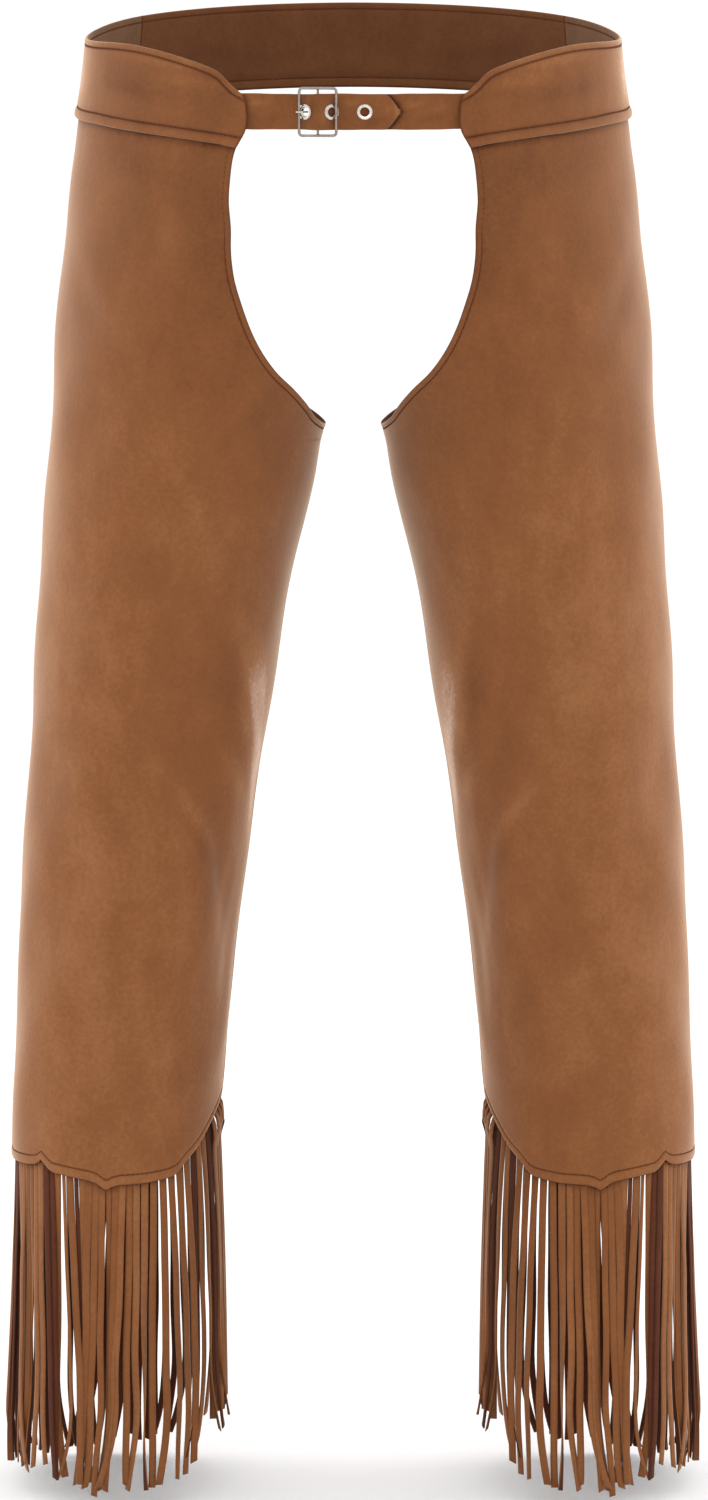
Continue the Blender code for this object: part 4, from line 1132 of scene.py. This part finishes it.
class Look:
    """A material in the making: its nodes, links, shader and object coordinates."""

    def __init__(self, name, values):
        self.material = bpy.data.materials.new(name)
        self.material.use_nodes = True
        self.nodes = self.material.node_tree.nodes
        self.links = self.material.node_tree.links
        self.shader = self.nodes["Principled BSDF"]
        self.place = self.node("ShaderNodeTexCoord", {}).outputs["Object"]
        self.fill(self.shader, values)

    def fill(self, node, values):
        """Set some inputs of a node, each from a socket or to a value."""
        for name, value in values.items():
            if isinstance(value, bpy.types.NodeSocket):
                self.links.new(value, node.inputs[name])
            else:
                node.inputs[name].default_value = value

    def node(self, kind, values):
        """A new node with some inputs set."""
        node = self.nodes.new(kind)
        self.fill(node, values)
        return node

    def noise(self, vector, scale, detail):
        """A noise texture."""
        values = {"Vector": vector, "Scale": scale, "Detail": detail, "Roughness": NOISE_ROUGHNESS}
        return self.node("ShaderNodeTexNoise", values).outputs["Fac"]

    def calc(self, operation, *values):
        """A math node."""
        node = self.node("ShaderNodeMath", dict(enumerate(values)))
        node.operation = operation
        return node.outputs[0]

    def colour(self, factor, *stops):
        """The surface's colour by a factor; stops are places and colours, the two ends first."""
        node = self.node("ShaderNodeValToRGB", {"Fac": factor})
        elements = node.color_ramp.elements
        for element, (place, shade) in zip(elements, stops):
            element.position = place
            element.color = shade
        for place, shade in stops[2:]:
            elements.new(place).color = shade
        self.fill(self.shader, {"Base Color": node.outputs["Color"]})

    def rough(self, factor, low, high):
        """The surface's roughness by a factor."""
        node = self.node("ShaderNodeMapRange", {"Value": factor, "To Min": low, "To Max": high})
        self.fill(self.shader, {"Roughness": node.outputs["Result"]})

    def bump(self, height, strength, distance):
        """The surface's finest relief."""
        values = {"Height": height, "Strength": strength, "Distance": distance}
        self.fill(self.shader, {"Normal": self.node("ShaderNodeBump", values).outputs["Normal"]})


def darker(colour, share):
    """A share of a colour."""
    return tuple(share * part for part in colour[:3]) + (1.0,)


def suede(name, tones, highlight, sheen, tint):
    """Brushed suede: mottled nap, fine grain, soft sheen; tones are dark, middle and light. The nap
    attribute also carries painted light and shade, which runs down to a painted-shade colour and up to a
    painted sheen highlight.
    """
    sheens = {"Sheen Weight": sheen, "Sheen Roughness": 0.38, "Sheen Tint": tint}
    look = Look(name, {"Specular IOR Level": 0.18, **sheens})
    drawn = look.node("ShaderNodeMapping", {"Vector": look.place, "Scale": (1.0, 1.0, 0.6)})
    drawn = drawn.outputs["Vector"]
    # The nap attribute carries nap patches together with painted light and shade
    nap = look.nodes.new("ShaderNodeAttribute")
    nap.attribute_name = "nap"
    wide, medium = look.noise(drawn, 9.0, 3.0), look.noise(drawn, 46.0, 4.0)
    small, fine = look.noise(look.place, 320.0, 3.0), look.noise(look.place, 1500.0, 2.0)
    tone = look.calc("MULTIPLY_ADD", wide, 0.20, -0.02)
    for part, weight in ((medium, 0.30), (small, 0.24), (fine, 0.20), (nap.outputs["Fac"], 0.16)):
        tone = look.calc("ADD", tone, look.calc("MULTIPLY", part, weight))
    dark, middle, light = tones
    # Ends of the colour ramp: painted shade at the bottom, a painted sheen highlight at the top
    ends = (0.0, darker(dark, DEEP_SHADE)), (1.0, highlight)
    look.colour(tone, *ends, (0.16, dark), (0.45, middle), (0.69, light))
    look.rough(small, 0.86, 1.0)
    pile = look.calc("ADD", look.calc("MULTIPLY", small, 0.5), look.calc("MULTIPLY", fine, 0.5))
    look.bump(pile, 0.5, 0.0006)
    return look.material


def thread(name, colour):
    """Twisted sewing thread."""
    look = Look(name, {"Roughness": 0.85, "Specular IOR Level": 0.15})
    wave = look.node("ShaderNodeTexWave", {"Vector": look.place, "Scale": 700.0})
    wave.bands_direction = "DIAGONAL"
    look.colour(wave.outputs["Fac"], (0.0, darker(colour, 0.6)), (1.0, colour))
    return look.material


def steel(name, colour, roughness):
    """Plated steel with faint scratches and wear."""
    look = Look(name, {"Metallic": 1.0})
    wear = look.noise(look.place, 260.0, 4.0)
    look.colour(wear, (0.35, darker(colour, 0.72)), (0.65, colour))
    look.rough(wear, roughness - 0.08, roughness + 0.12)
    look.bump(look.noise(look.place, 1800.0, 2.0), 0.15, 0.0001)
    return look.material


def floor_material():
    """Pale matt floor with the faintest mottling."""
    look = Look("floor_white", {"Roughness": 0.9, "Specular IOR Level": 0.1})
    pale, white = (0.95, 0.95, 0.95, 1.0), (0.98, 0.98, 0.98, 1.0)
    look.colour(look.noise(look.place, 3.0, 2.0), (0.0, pale), (1.0, white))
    return look.material


def give(obj, material):
    """Give an object one material."""
    obj.data.materials.clear()
    obj.data.materials.append(material)


def dress(obj, node):
    """A cloth piece that stands for a CAD node."""
    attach(obj, "root")
    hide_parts(node)
    return obj


def add_floor(material):
    """A wide pale floor just below the fringe."""
    size = {"x_segments": FLOOR_CELLS, "y_segments": FLOOR_CELLS, "size": FLOOR_HALF}
    mesh = bpy.data.meshes.new("floor")
    floor = add_object("floor", edit_mesh(mesh, lambda shape: bmesh.ops.create_grid(shape, **size)))
    floor.location.z = CAD_LOW[2] - FLOOR_GAP
    give(floor, material)


def light_scene():
    """White surroundings and soft boxes, each facing its own target."""
    scene = bpy.context.scene
    scene.view_settings.view_transform = "Standard"
    world = bpy.data.worlds.new("studio")
    world.use_nodes = True
    sky = world.node_tree.nodes["Background"].inputs
    sky["Color"].default_value = (1.0, 1.0, 1.0, 1.0)
    sky["Strength"].default_value = SKY_STRENGTH
    scene.world = world
    for name, place, target, size, power in LIGHTS:
        lamp = bpy.data.lights.new(name, "AREA")
        lamp.shape = "RECTANGLE"
        lamp.size, lamp.size_y = size
        lamp.energy = power
        obj = add_object(name, lamp)
        obj.location = place
        obj.rotation_euler = (Vector(target) - Vector(place)).to_track_quat("-Z", "Y").to_euler()


def add_camera():
    """The photograph's camera."""
    lens = bpy.data.cameras.new("camera")
    lens.lens = CAMERA_LENS
    lens.sensor_width = 36.0
    lens.sensor_fit = "AUTO"
    lens.clip_end = 400.0
    camera = add_object("camera", lens)
    camera.location = CAMERA_PLACE
    camera.rotation_euler = (math.radians(90.0 - CAMERA_TILT), 0.0, 0.0)
    bpy.context.scene.camera = camera


def kept_metal():
    """Materials of the buckle and the eyelets."""
    bright = steel("steel_bright", (0.70, 0.63, 0.57, 1.0), 0.20)
    give(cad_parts["buckle_frame"], steel("steel_dull", (0.36, 0.32, 0.285, 1.0), 0.34))
    for name in ("buckle_prong", "eyelet_1", "eyelet_2", "eyelet_3"):
        give(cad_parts[name], bright)


def side_pieces(side, word, leg_look, fringe_look, yoke_look, stitch):
    """One side's leg, fringe and yoke with their stitches."""
    leg = dress(leg_cloth(side, word, leg_look), "leg_" + word)
    fringe = dress(fringe_cloth(side, word, fringe_look), "fringe_" + word)
    grid = band_grid(YOKE_FRONT_END, SEAM_ANGLE, (True, True), True)
    yoke = band_cloth("yoke_" + word + "_cloth", *grid, side, yoke_look)
    dress(yoke, "yoke_" + word)
    leg_sewn = leg_stitches(side, word, stitch)
    ends = YOKE_FRONT_END + END_STITCH, SEAM_ANGLE - END_STITCH
    lines = band_stitches(*ends, SEAM_ANGLE - SEAM_STITCH_GAP, True)
    yoke_sewn = stitch_mesh("yoke_" + word + "_stitches", lines, side, stitch)


def back_pieces(look, stitch):
    """The back waistband and its stitches."""
    back = dress(waistband_cloth(look), "waistband_back")
    start = seam_start()
    half = band_stitches(start + END_STITCH, BACK_MIDDLE, start + SEAM_STITCH_GAP, False)
    other = [(points * MIRROR, normals * MIRROR) for points, normals in half]
    sewn = stitch_mesh("waistband_back_stitches", half + other, 1, stitch)


def belt_pieces(outer):
    """The two straps of the belt."""
    tongue = dress(tongue_strap((outer,)), "belt_tongue")
    holder = dress(holder_strap((outer,)), "belt_buckle_strap")


def build():
    """Make every piece, its material and the stage."""
    outer = suede("suede_nap", OUTER_TONES, OUTER_HIGHLIGHT, 0.80, OUTER_SHEEN)
    strand = suede("suede_strand", OUTER_TONES, OUTER_HIGHLIGHT, 0.32, OUTER_SHEEN)
    # A darker copy of the suede with little sheen: painted shade for grooves, turned edges and the bands'
    # ends
    seam = suede("suede_seam_shade", SEAM_SHADE_TONES, WRONG_HIGHLIGHT, 0.05, WRONG_SHEEN)
    wrong = suede("suede_wrong_side", WRONG_TONES, WRONG_HIGHLIGHT, 0.08, WRONG_SHEEN)
    inside = suede("suede_inside", INSIDE_TONES, INSIDE_HIGHLIGHT, 0.25, WRONG_SHEEN)
    lining = suede("suede_lining", LINING_TONES, LINING_HIGHLIGHT, 0.35, WRONG_SHEEN)
    stitch = thread("thread_brown", (0.100, 0.030, 0.011, 1.0))
    looks = (outer, wrong, seam, wrong), (strand, wrong, strand), (outer, lining, seam)
    for side, word in SIDES:
        side_pieces(side, word, *looks, stitch)
    back_pieces((outer, inside, seam), stitch)
    belt_pieces(outer)
    kept_metal()
    add_floor(floor_material())
    light_scene()
    add_camera()


build()
